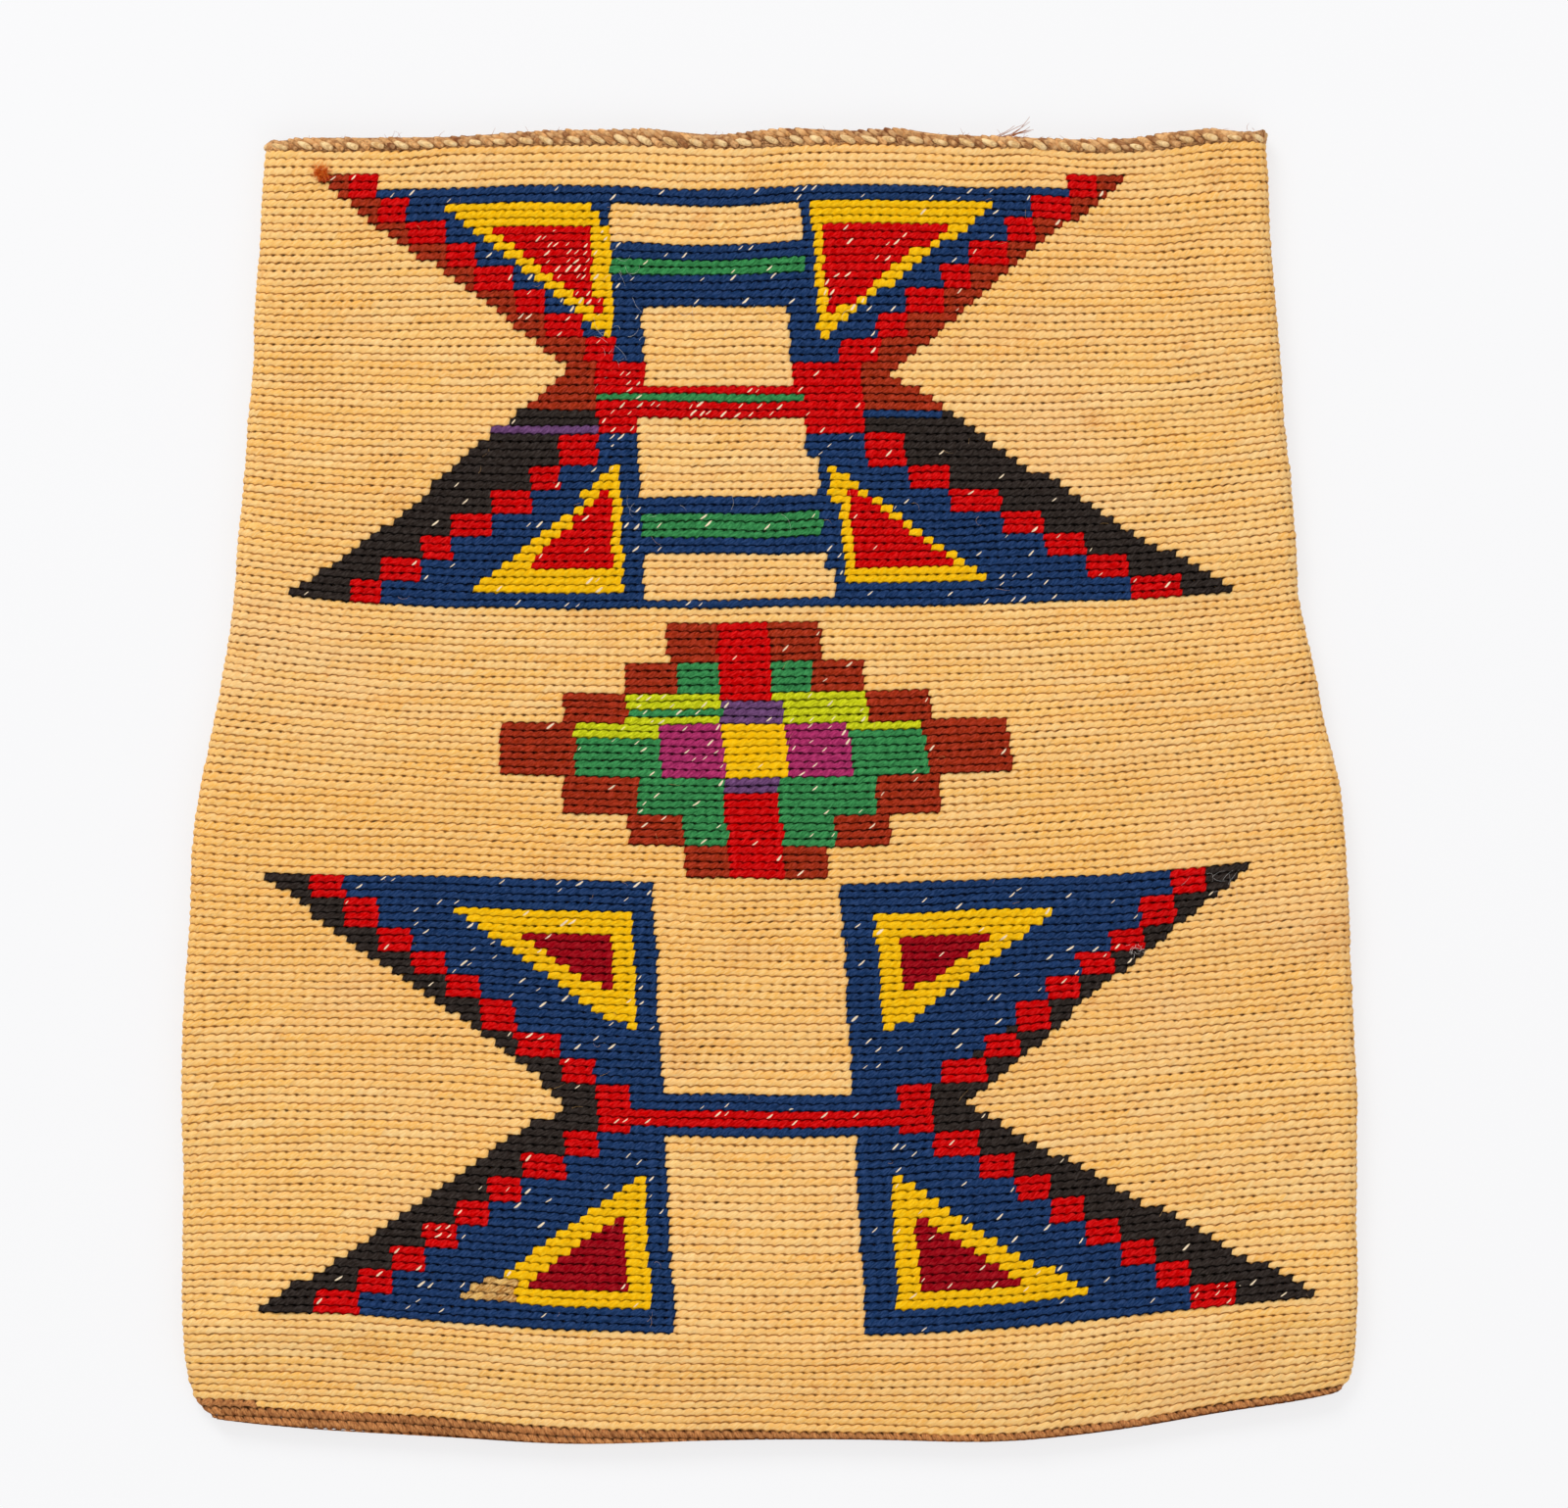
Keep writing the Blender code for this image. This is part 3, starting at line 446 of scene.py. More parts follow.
FRONT_FIRST, FRONT_LAST = -64, 68
front_along = middles_along(FRONT_FIRST, FRONT_LAST)
row_of_stitch = np.broadcast_to(ROWS[:, None].astype(float), front_along.shape)
colour_of = np.zeros(front_along.shape, int)
middle_of_stitch = np.broadcast_to(np.arange(FRONT_FIRST, FRONT_LAST) + 0.5, front_along.shape)
for colour, corners in DESIGN:
    colour_of[inside(list(corners), middle_of_stitch, row_of_stitch)] = COLOUR_NAMES.index(colour)
print({name: int((colour_of == i).sum()) for i, name in enumerate(COLOUR_NAMES)})

# %% Front points
folds = 2 * fold_lengths(row_of_stitch)[1]
on_front = np.abs(front_along) <= flat_reach(front_along, row_of_stitch) + folds
stands = np.where(colour_of > COLOUR_NAMES.index("bare"), WOOL_LIFT, 0.0)
alike = np.ones((len(ROWS), FRONT_LAST - FRONT_FIRST + 1), bool)
alike[:, 1:-1] = colour_of[:, 1:] == colour_of[:, :-1]
FRONT_LINES, FRONT_DIPS = (-0.62, -0.40, -0.03, 0.36, 0.54), (-1.5, -0.34, 0.0, -0.18, -0.62)
front_points, front_weave = row_grid(
    FRONT_FIRST, FRONT_LAST, 4, FRONT_LINES, FRONT_DIPS, stands, np.where(alike, SLANT, SLANT_AT_COLOUR)
)
print("front points:", front_points.shape)

# %% [markdown]
# ## From points to pieces
#
# A piece is cut from the grid by saying which stitches it keeps. Each gets two UV maps. The one named
# weave holds the count itself, stitch and row, and drives the materials. The other lays the rows side by
# side without overlap, so that the finish can also be baked.

# %% Make a mesh piece
def corner_points(mesh):
    """The number of the point at each corner of the faces."""
    corners = np.empty(len(mesh.loops), int)
    mesh.loops.foreach_get("vertex_index", corners)
    return corners


def mesh_piece(name, points, faces, material, maps=None, node=None):
    """A smooth mesh piece from points in millimetres, with a UV map for each entry of maps."""
    mesh = bpy.data.meshes.new(name)
    mesh.from_pydata((np.asarray(points) * MM).tolist(), [],
                     faces if isinstance(faces, list) else faces.tolist())
    mesh.polygons.foreach_set("use_smooth", [True] * len(mesh.polygons))
    for title, values in (maps or {}).items():
        layer = mesh.uv_layers.new(name=title)
        layer.data.foreach_set("uv", np.asarray(values)[corner_points(mesh)].astype(np.float32).ravel())
    mesh.materials.append(material)
    piece = bpy.data.objects.new(name, mesh)
    bpy.context.scene.collection.objects.link(piece)
    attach(piece, "root")
    for replaced in node or ():
        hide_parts(replaced)
    return piece


def cut_from_grid(name, grid, per_stitch, keep, material, nodes):
    """A piece of the kept stitches of a grid."""
    points, weave = grid
    rows, columns, lines = points.shape[:3]
    row, cell = np.nonzero(keep)
    faces = []
    for step in range(per_stitch):
        for k in range(lines - 1):
            low = (row * columns + cell * per_stitch + step) * lines + k
            faces.append(np.stack([low, low + 1, low + lines + 1, low + lines], axis=-1))
    used, faces = np.unique(np.concatenate(faces), return_inverse=True)
    faces = faces.reshape(-1, 4)
    count = weave.reshape(-1, 2)[used]
    lowest, highest = count.min(axis=0), count.max(axis=0)
    crest = np.round(count[:, 1] * 0.98 + 0.02 * np.round(count[:, 1]))
    band = (crest - crest.min() + 0.5 + (count[:, 1] - crest) * 0.88) / (crest.max() - crest.min() + 1)
    bake = np.stack([(count[:, 0] - lowest[0]) / (highest[0] - lowest[0]), band], axis=-1)
    return mesh_piece(
        name, points.reshape(-1, 3)[used], faces, material, {"weave": count, "OFBake": bake}, nodes
    )


# %% [markdown]
# ## Small tools for shader nodes
#
# These few functions keep the materials readable: feed a socket with a link or a plain value, do some
# arithmetic, make a soft mask, blend two colours, or draw a random number that stays the same for the
# same stitch.

# %% Shader helpers
def feed(tree, source, socket):
    if isinstance(source, bpy.types.NodeSocket):
        tree.links.new(source, socket)
    else:
        socket.default_value = source


def maths(tree, operation, *values):
    node = tree.nodes.new("ShaderNodeMath")
    node.operation = operation
    for value, socket in zip(values, node.inputs):
        feed(tree, value, socket)
    return node.outputs[0]


def soft_step(tree, value, low, high):
    node = tree.nodes.new("ShaderNodeMapRange")
    node.interpolation_type = "SMOOTHSTEP"
    feed(tree, value, node.inputs["Value"])
    node.inputs["From Min"].default_value = low
    node.inputs["From Max"].default_value = high
    return node.outputs["Result"]


def blend(tree, share, first, second):
    node = tree.nodes.new("ShaderNodeMix")
    node.data_type = "RGBA"
    feed(tree, share, node.inputs[0])
    for colour, socket in ((first, node.inputs[6]), (second, node.inputs[7])):
        feed(tree, colour, socket)
    return node.outputs[2]


def dice(tree, x, y, z=0.0):
    """A random number from 0 to 1 that belongs to the three numbers it is given."""
    place = tree.nodes.new("ShaderNodeCombineXYZ")
    for value, socket in zip((x, y, z), place.inputs):
        feed(tree, value, socket)
    noise = tree.nodes.new("ShaderNodeTexWhiteNoise")
    tree.links.new(place.outputs[0], noise.inputs["Vector"])
    return noise.outputs["Value"]


def cloud(tree, x, y):
    """Soft noise over a plane."""
    place = tree.nodes.new("ShaderNodeCombineXYZ")
    feed(tree, x, place.inputs[0])
    feed(tree, y, place.inputs[1])
    noise = tree.nodes.new("ShaderNodeTexNoise")
    noise.inputs["Scale"].default_value = 1.0
    tree.links.new(place.outputs[0], noise.inputs["Vector"])
    return noise.outputs["Fac"]


def screen(red, green, blue, alpha=1.0):
    """A colour as read off a screen, 0 to 255, turned into the linear values that shaders use."""
    parts = [c / 255 for c in (red, green, blue)]
    return tuple(c / 12.92 if c <= 0.04045 else ((c + 0.055) / 1.055) ** 2.4 for c in parts) + (alpha,)


def new_group(name, inputs, outputs):
    tree = bpy.data.node_groups.new(name, "ShaderNodeTree")
    for title, value in inputs:
        tree.interface.new_socket(title, in_out="INPUT", socket_type="NodeSocketFloat").default_value = value
    for title in outputs:
        tree.interface.new_socket(title, in_out="OUTPUT", socket_type="NodeSocketFloat")
    return tree, tree.nodes.new("NodeGroupInput").outputs, tree.nodes.new("NodeGroupOutput").inputs


def place_group(tree, group, **values):
    node = tree.nodes.new("ShaderNodeGroup")
    node.node_tree = group
    for title, value in values.items():
        feed(tree, value, node.inputs[title.replace("_", " ")])
    return node.outputs


# %% [markdown]
# ## Twining as a node group
#
# Four effects are shared by husk, wool and plain cord. The first reads where in its row and stitch a point
# lies. The materials paint shade into the crease between rows and the pinch between stitches, as light
# hardly reaches them there. The crease is widest where a row tucks under the one above it, and noise opens
# and closes it.

# %% Group: row and stitch
row_marks, given, gives = new_group(
    "row_and_stitch", [("Stitch", 0.0), ("Row", 0.0)], ["Crease", "Pinch", "Down", "Away"]
)
from_crest = maths(row_marks, "SUBTRACT", given["Row"], maths(row_marks, "ROUND", given["Row"]))
off_crest = maths(row_marks, "ABSOLUTE", from_crest)
from_join = maths(row_marks, "SUBTRACT", given["Stitch"], maths(row_marks, "ROUND", given["Stitch"]))
near_join = maths(row_marks, "SUBTRACT", 1.0, soft_step(
    row_marks, maths(row_marks, "ABSOLUTE", from_join), 0.0, 0.18))
gaping = cloud(row_marks, maths(row_marks, "MULTIPLY", given["Stitch"], 0.45), given["Row"])
wider = maths(row_marks, "MULTIPLY_ADD", near_join, 0.03, maths(
    row_marks, "MULTIPLY_ADD", gaping, 0.16, -0.06))
above = soft_step(row_marks, maths(row_marks, "SUBTRACT", wider, from_crest), 0.41, 0.50)
below = soft_step(row_marks, maths(row_marks, "ADD", wider, from_crest), 0.36, 0.47)
crease = maths(row_marks, "MAXIMUM", maths(row_marks, "MULTIPLY", above, 0.9), below)
row_marks.links.new(crease, gives["Crease"])
toward_edge = maths(row_marks, "ADD", 0.15, soft_step(
    row_marks, maths(row_marks, "MULTIPLY", from_crest, -1.0), 0.05, 0.42))
row_marks.links.new(maths(row_marks, "MULTIPLY", near_join, toward_edge), gives["Pinch"])
# Down grows from the top of a row to its foot, and Away from the crest out to the edges: masks for painted
# shade on a row's lower side and toward its edges.
row_marks.links.new(maths(row_marks, "ADD", from_crest, 0.5), gives["Down"])
row_marks.links.new(soft_step(row_marks, off_crest, 0.12, 0.55), gives["Away"])

# %% [markdown]
# The second draws the fine strands inside a stitch. They lean a little more than the stitch does, and
# noise pulls them off straight lines. Paler streaks run the same way: painted highlights where the fibres
# would catch the light. Where the strands' height is low, between them, the materials paint shade.

# %% Group: strands
strands, given, gives = new_group(
    "strands", [("Stitch", 0.0), ("Row", 0.0), ("Count", 5.0), ("Lean", 0.45), ("Tangle", 0.5)],
    ["Height", "Streak"],
)
leaning = maths(strands, "MULTIPLY_ADD", maths(
    strands, "SUBTRACT", given["Row"], maths(strands, "ROUND", given["Row"])), given["Lean"], given["Stitch"])
cloudy = cloud(
    strands, maths(strands, "MULTIPLY", leaning, 1.9), maths(strands, "MULTIPLY", given["Row"], 1.3)
)
pulled = maths(strands, "MULTIPLY_ADD", cloudy, given["Tangle"], leaning)
waves = maths(strands, "SINE", maths(
    strands, "MULTIPLY", maths(strands, "MULTIPLY", pulled, given["Count"]), 2 * math.pi))
strands.links.new(maths(strands, "MULTIPLY_ADD", waves, 0.5, 0.5), gives["Height"])
streaky = cloud(
    strands, maths(strands, "MULTIPLY", leaning, 5.0), maths(strands, "MULTIPLY", given["Row"], 1.9)
)
strands.links.new(soft_step(strands, streaky, 0.38, 0.68), gives["Streak"])

# %% [markdown]
# The third gives each strip of husk or length of yarn its own tone. A strip lasts for several stitches
# before the weaver lays in the next, so the tone holds for a run of stitches and then changes.

# %% Group: lengths
lengths, given, gives = new_group(
    "lengths", [("Stitch", 0.0), ("Row", 0.0), ("Stitches", 7.0)], ["Tone", "Second Tone", "Change"]
)
row_number = maths(lengths, "ROUND", given["Row"])
start = maths(lengths, "MULTIPLY", dice(lengths, row_number, 3.3), 40.0)
counted = maths(lengths, "ADD", maths(lengths, "DIVIDE", given["Stitch"], given["Stitches"]), start)
length_number = maths(lengths, "FLOOR", counted)
lengths.links.new(dice(lengths, length_number, row_number, 1.7), gives["Tone"])
lengths.links.new(dice(lengths, length_number, row_number, 9.1), gives["Second Tone"])
since = maths(lengths, "MULTIPLY", maths(lengths, "FRACT", counted), given["Stitches"])
lengths.links.new(maths(lengths, "SUBTRACT", 1.0, soft_step(lengths, since, 0.05, 0.30)), gives["Change"])

# %% [markdown]
# The fourth is wear. Where the wool has thinned, the pale cord under it shows as a slanting oval in the
# middle of a stitch. Dice for each stitch decide whether it is worn through, and how big the oval is.

# %% Group: worn stitches
worn, given, gives = new_group("worn_stitches", [("Stitch", 0.0), ("Row", 0.0), ("Amount", 0.05)], ["Mask"])
stitch_number, row_number = maths(worn, "FLOOR", given["Stitch"]), maths(worn, "ROUND", given["Row"])
gone = maths(worn, "LESS_THAN", dice(worn, stitch_number, row_number, 5.5), given["Amount"])
side_to_side = maths(worn, "SUBTRACT", maths(worn, "FRACT", given["Stitch"]), 0.5)
up_and_down = maths(worn, "ADD", maths(worn, "SUBTRACT", given["Row"], row_number), maths(
    worn, "MULTIPLY_ADD", dice(worn, stitch_number, row_number, 6.6), 0.3, -0.15))
aside = maths(worn, "MULTIPLY_ADD", dice(worn, stitch_number, row_number, 2.9), 0.5, -0.25)
skewed = maths(worn, "ADD", maths(worn, "MULTIPLY_ADD", up_and_down, 0.30, side_to_side), aside)
size = maths(worn, "MULTIPLY_ADD", dice(worn, stitch_number, row_number, 8.2), 0.75, 0.40)
across_oval = maths(worn, "POWER", maths(worn, "ABSOLUTE", maths(
    worn, "DIVIDE", skewed, maths(worn, "MULTIPLY", size, 0.135))), 2.0)
down_oval = maths(worn, "POWER", maths(worn, "ABSOLUTE", maths(
    worn, "DIVIDE", up_and_down, maths(worn, "MULTIPLY_ADD", size, 0.20, 0.16))), 2.0)
oval = maths(worn, "SUBTRACT", 1.0, soft_step(worn, maths(worn, "ADD", across_oval, down_oval), 0.6, 1.2))
worn.links.new(maths(worn, "MULTIPLY", gone, oval), gives["Mask"])
print("groups:", [group.name for group in bpy.data.node_groups])


# %% [markdown]
# ## Materials of the cloth
#
# Husk is pale and slightly satin, cream in one strip and golden in the next, with a few brown spots. Wool
# is dull, with paler loose fibres over it that carry painted highlights. Both get painted shade in the
# creases between rows, where stitches pinch and between the strands, and painted highlights along the
# strands.
# Both use the same groups with their own values, and both read the stitch and row from the UV map named
# weave.

# %% Husk
def start_material(name):
    """A new material: its tree, its shader, and the stitch and row of each point."""
    material = bpy.data.materials.new(name)
    material.use_nodes = True
    tree = material.node_tree
    count = tree.nodes.new("ShaderNodeUVMap")
    count.uv_map = "weave"
    split = tree.nodes.new("ShaderNodeSeparateXYZ")
    tree.links.new(count.outputs["UV"], split.inputs[0])
    return material, tree, tree.nodes["Principled BSDF"], split.outputs[0], split.outputs[1]


def layered(tree, colour, layers):
    """A colour under layers of paint, each with its mask and strength."""
    for mask, strength, paint in layers:
        colour = blend(tree, maths(tree, "MULTIPLY", mask, strength), colour, paint)
    return colour


def finish(tree, shader, colour, roughness, specular, height, depth, strength):
    """Link the colour, set the gloss, and let the fine strands bend the light."""
    tree.links.new(colour, shader.inputs["Base Color"])
    shader.inputs["Roughness"].default_value = roughness
    shader.inputs["Specular IOR Level"].default_value = specular
    bump = tree.nodes.new("ShaderNodeBump")
    bump.inputs["Distance"].default_value = depth
    bump.inputs["Strength"].default_value = strength
    tree.links.new(height, bump.inputs["Height"])
    tree.links.new(bump.outputs["Normal"], shader.inputs["Normal"])


def stains(tree, scale, low, high, seed):
    """Soft blotches over the whole cloth."""
    place = tree.nodes.new("ShaderNodeTexCoord")
    noise = tree.nodes.new("ShaderNodeTexNoise")
    noise.noise_dimensions = "4D"
    noise.inputs["W"].default_value = seed
    noise.inputs["Scale"].default_value = scale
    tree.links.new(place.outputs["Object"], noise.inputs["Vector"])
    return soft_step(tree, noise.outputs["Fac"], low, high)


# The husk of the front has a few brown spots. They are strewn by a seed of their own, so that the other
# draws stay as they are: millimetres right of the middle, up from the middle, and across.
SPOT_COUNT, SPOT_SEED = 18, 5
SPOT_REACH = (200.0, 225.0)
SPOT_HEIGHT = 12.5
spot_draw = np.random.default_rng(SPOT_SEED)
SPOTS = [
    (spot_draw.uniform(-SPOT_REACH[0], SPOT_REACH[0]), spot_draw.uniform(-SPOT_REACH[1], SPOT_REACH[1]),
     spot_draw.uniform(3.0, 5.5))
    for _ in range(SPOT_COUNT)
]


def spots(tree, places):
    """Round marks on the upper face. They fade over their outer half and don't reach the back."""
    place = tree.nodes.new("ShaderNodeTexCoord")
    mask = 0.0
    for x, y, across in places:
        gap = tree.nodes.new("ShaderNodeVectorMath")
        gap.operation = "DISTANCE"
        tree.links.new(place.outputs["Object"], gap.inputs[0])
        gap.inputs[1].default_value = (x * MM, y * MM, SPOT_HEIGHT * MM)
        gone = soft_step(tree, gap.outputs["Value"], 0.3 * across * MM, 1.3 * across * MM)
        mask = maths(tree, "MAXIMUM", mask, maths(tree, "SUBTRACT", 1.0, gone))
    return mask


def make_husk():
    material, tree, shader, stitch, row = start_material("husk")
    marks = place_group(tree, row_marks, Stitch=stitch, Row=row)
    tones = place_group(tree, lengths, Stitch=stitch, Row=row, Stitches=7.0)
    fine = place_group(tree, strands, Stitch=stitch, Row=row, Count=5.0, Lean=0.45, Tangle=0.5)
    colour = blend(tree, tones["Tone"], screen(255, 202, 106), screen(255, 220, 152))
    colour = blend(tree, soft_step(tree, tones["Second Tone"], 0.70, 1.2), colour, screen(252, 186, 82))
    own_tone = dice(tree, maths(tree, "FLOOR", stitch), maths(tree, "ROUND", row), 4.4)
    later = maths(tree, "SUBTRACT", soft_step(tree, row, 72.0, 92.0), soft_step(tree, row, 108.0, 128.0))
    colour = layered(tree, colour, (
        (own_tone, 0.34, screen(250, 178, 88)),
        (stains(tree, 7.0, 0.40, 0.70, 5.0), 0.30, screen(250, 180, 82)),
    ))
    colour = blend(tree, maths(tree, "MULTIPLY_ADD", later, 0.34, 0.10), colour, screen(248, 182, 70))
    colour = layered(tree, colour, (
        (stains(tree, 11.0, 0.52, 0.72, 9.0), 0.45, screen(252, 208, 152)),
        (stains(tree, 34.0, 0.60, 0.74, 2.0), 0.35, screen(222, 150, 70)),
        (stains(tree, 150.0, 0.70, 0.78, 7.0), 0.6, screen(205, 128, 52)),
        (spots(tree, SPOTS), 0.5, screen(228, 148, 60)),
        # Painted shade: each row darker toward its foot, on the side away from the lamp.
        (marks["Down"], 0.08, screen(240, 172, 80)),
        # Painted shade in the grooves between the strands.
        (maths(tree, "SUBTRACT", 1.0, fine["Height"]), 0.48, screen(228, 156, 74)),
        # Painted highlights along the strands.
        (fine["Streak"], 0.42, screen(255, 228, 168)),
        # Painted shade where the stitches pinch together.
        (marks["Pinch"], 0.10, screen(186, 116, 46)),
        (tones["Change"], 0.12, screen(120, 70, 28)),
        # Painted shade in the crease between rows.
        (marks["Crease"], 0.76, screen(166, 92, 12)),
    ))
    finish(tree, shader, colour, 0.68, 0.16, fine["Height"], 0.00012, 0.9)
    return material


husk = make_husk()

# %% Wool
WOOL = {
    "blue": screen(28, 55, 98), "red": screen(200, 1, 2), "crimson": screen(146, 2, 17),
    "brown": screen(160, 46, 19), "black": screen(46, 38, 34), "yellow": screen(255, 190, 10),
    "orange": screen(255, 192, 6), "green": screen(54, 134, 74), "lime": screen(194, 200, 20),
    "purple": screen(164, 43, 96), "violet": screen(106, 68, 112),
}
# How dark each wool's darker colours go. They paint the shade between the strands, toward the row edges,
# where stitches pinch and in the creases, and they also darken the soft blotches.
SHADE = {"red": 0.63, "crimson": 0.60, "yellow": 0.80, "orange": 0.88, "purple": 0.5, "lime": 0.58}
WORN = {"red": 0.06, "blue": 0.08, "lime": 0.14, "green": 0.08, "purple": 0.14, "crimson": 0.06}
HARDY = {"yellow": 0.35, "brown": 0.5, "orange": 0.2, "black": 0.5}


def make_wool(name):
    material, tree, shader, stitch, row = start_material("wool_" + name)
    own = WOOL[name]
    shade, room = SHADE.get(name, 0.32), 1.0 / max(own[:3])
    # Four colours from the wool's own: a darker one for blotches and painted shade, a deepest one for painted
    # shade only, a paler one for paler lengths and stitches, and a brighter, whiter one for painted
    # highlights on the loose fibres.
    dark, deep_shade, pale, fluff_highlight = (
        tuple(min(c * share + more, 1.0) for c in own[:3]) + (1.0,)
        for share, more in (
            (shade, 0.0), (0.6 * shade**2, 0.0), (min(1.35, room), 0.0), (min(1.9, 1.3 * room), 0.028)
        )
    )
    marks = place_group(tree, row_marks, Stitch=stitch, Row=row)
    tones = place_group(tree, lengths, Stitch=stitch, Row=row, Stitches=11.0)
    fine = place_group(tree, strands, Stitch=stitch, Row=row, Count=6.0, Lean=0.35, Tangle=1.1)
    own_tone = dice(tree, maths(tree, "FLOOR", stitch), maths(tree, "ROUND", row), 4.4)
    paler = maths(tree, "MULTIPLY", maths(tree, "ADD", tones["Tone"], own_tone), 0.30)
    colour = blend(tree, paler, own, pale)
    amount = tree.nodes.new("ShaderNodeAttribute")
    amount.attribute_name = "wear"
    thin = place_group(tree, worn, Stitch=stitch, Row=row, Amount=amount.outputs["Fac"])
    colour = layered(tree, colour, (
        (stains(tree, 420.0, 0.40, 0.70, 1.0), 0.45, dark),
        # Painted shade in the grooves between the strands.
        (maths(tree, "SUBTRACT", 1.0, fine["Height"]), 0.52, dark),
        # Painted shade toward the edges of each row, away from its lit crest.
        (marks["Away"], 0.42, dark),
        # Painted highlights on the loose fibres.
        (fine["Streak"], 0.45, fluff_highlight),
        # Painted shade where the stitches pinch together.
        (marks["Pinch"], 0.12, deep_shade),
        # Painted shade in the crease between rows.
        (marks["Crease"], 0.86, deep_shade),
        (thin["Mask"], 0.92, screen(246, 224, 190)),
    ))
    finish(tree, shader, colour, 0.92, 0.0, fine["Height"], 0.00014, 0.9)
    return material


wool = {name: make_wool(name) for name in WOOL}
print("wools:", ", ".join(wool))

# %% [markdown]
# Plain twined cord shows along the bottom, where the weaver began, and inside the bag.

# %% Plain cord
# The brighter colour paints highlights along the strands. The darkest paints shade between the strands, where
# stitches pinch and in the creases, with the two given strengths for the pinch and the crease.
def make_cord(name, first, second, deep_shade, highlight, count, gap_shade=(0.5, 0.8)):
    material, tree, shader, stitch, row = start_material(name)
    marks = place_group(tree, row_marks, Stitch=stitch, Row=row)
    tones = place_group(tree, lengths, Stitch=stitch, Row=row, Stitches=1.0)
    fine = place_group(tree, strands, Stitch=stitch, Row=row, Count=count, Lean=0.4, Tangle=1.0)
    colour = blend(tree, tones["Tone"], first, second)
    colour = layered(tree, colour, (
        # Painted shade in the grooves between the strands.
        (maths(tree, "SUBTRACT", 1.0, fine["Height"]), 0.45, deep_shade),
        # Painted highlights along the strands.
        (fine["Streak"], 0.55, highlight),
        # Painted shade where the stitches pinch together, and in the crease between rows.
        (marks["Pinch"], gap_shade[0], deep_shade),
        (marks["Crease"], gap_shade[1], deep_shade),
    ))
    finish(tree, shader, colour, 0.8, 0.2, fine["Height"], 0.0002, 0.8)
    return material


plain_cord = make_cord("start_cord", screen(204, 132, 74), screen(158, 96, 50), screen(74, 40, 14),
                       screen(226, 160, 98), 4.0, (0.85, 0.35))
lining_cord = make_cord("lining_cord", screen(186, 140, 86), screen(170, 122, 72), screen(96, 62, 32),
                        screen(206, 164, 112), 4.0)

# %% [markdown]
# ## The front in husk and wool
#
# The husk stitches make three pieces, and each wool makes one, which stands for the flat fields of that
# colour in the CAD model. In one small patch the wool is worn through to the cord.

# %% Cut the front
nodes_of = {name: [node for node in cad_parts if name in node.split("_")] for name in WOOL}
front_grid = (front_points, front_weave)
for part, (first, last) in enumerate(((2, 57), (58, 112), (113, 164)), 1):
    rows_in = (row_of_stitch >= first) & (row_of_stitch <= last)
    piece = cut_from_grid(f"husk_rows_{part}", front_grid, 4, on_front & (colour_of == 0) & rows_in, husk,
                          ["twined_body"])
    print(piece.name, len(piece.data.polygons) * 2, "triangles")

WORN_PLACES = (
    (-15.0, 17.0, 4.5, 6.0, 0.50), (-10.5, 34.5, 2.4, 4.2, 0.6), (0.0, 33.5, 9.0, 2.5, 0.26),
    (17.0, 14.0, 5.0, 4.0, 0.20), (-8.0, 72.5, 4.0, 2.5, 0.35), (-29.5, 140.5, 1.3, 1.3, 0.95),
    (39.0, 150.0, 2.4, 1.2, 0.7), (0.0, 125.2, 12.0, 1.2, 0.16), (-24.0, 146.5, 1.4, 1.5, 0.8),
    (-18.0, 102.5, 2.4, 2.4, 0.2),
)
for name, material in wool.items():
    piece = cut_from_grid(f"wool_{name}", front_grid, 4, on_front & (colour_of == COLOUR_NAMES.index(name)),
                          material, nodes_of[name])
    corner_counts = np.empty(len(piece.data.loops) * 2, np.float32)
    piece.data.uv_layers["weave"].data.foreach_get("uv", corner_counts)
    stitch_row = np.empty((len(piece.data.vertices), 2))
    stitch_row[corner_points(piece.data)] = corner_counts.reshape(-1, 2)
    wear = np.full(len(stitch_row), WORN.get(name, 0.03))
    for s, r, wide, tall, amount in WORN_PLACES:
        away = np.hypot((stitch_row[:, 0] - s) / wide, (stitch_row[:, 1] - r) / tall)
        wear = np.maximum(wear, amount * HARDY.get(name, 1.0) * np.clip(1.5 - away, 0, 1))
    piece.data.attributes.new("wear", "FLOAT", "POINT").data.foreach_set("value", wear.astype(np.float32))
worn_cord = make_cord("worn_cord", screen(240, 190, 104), screen(178, 116, 44), screen(104, 62, 22),
                      screen(252, 212, 140), 3.0)
cut_from_grid("worn_through", front_grid, 4, on_front & (colour_of == COLOUR_NAMES.index("bare")), worn_cord,
              ["twined_body"])
print("wool pieces:", len(wool))

# %% [markdown]
# ## The back
#
# The back lies on the table and is plain husk. It continues the same rows and the same count, with
# fewer points to a stitch.

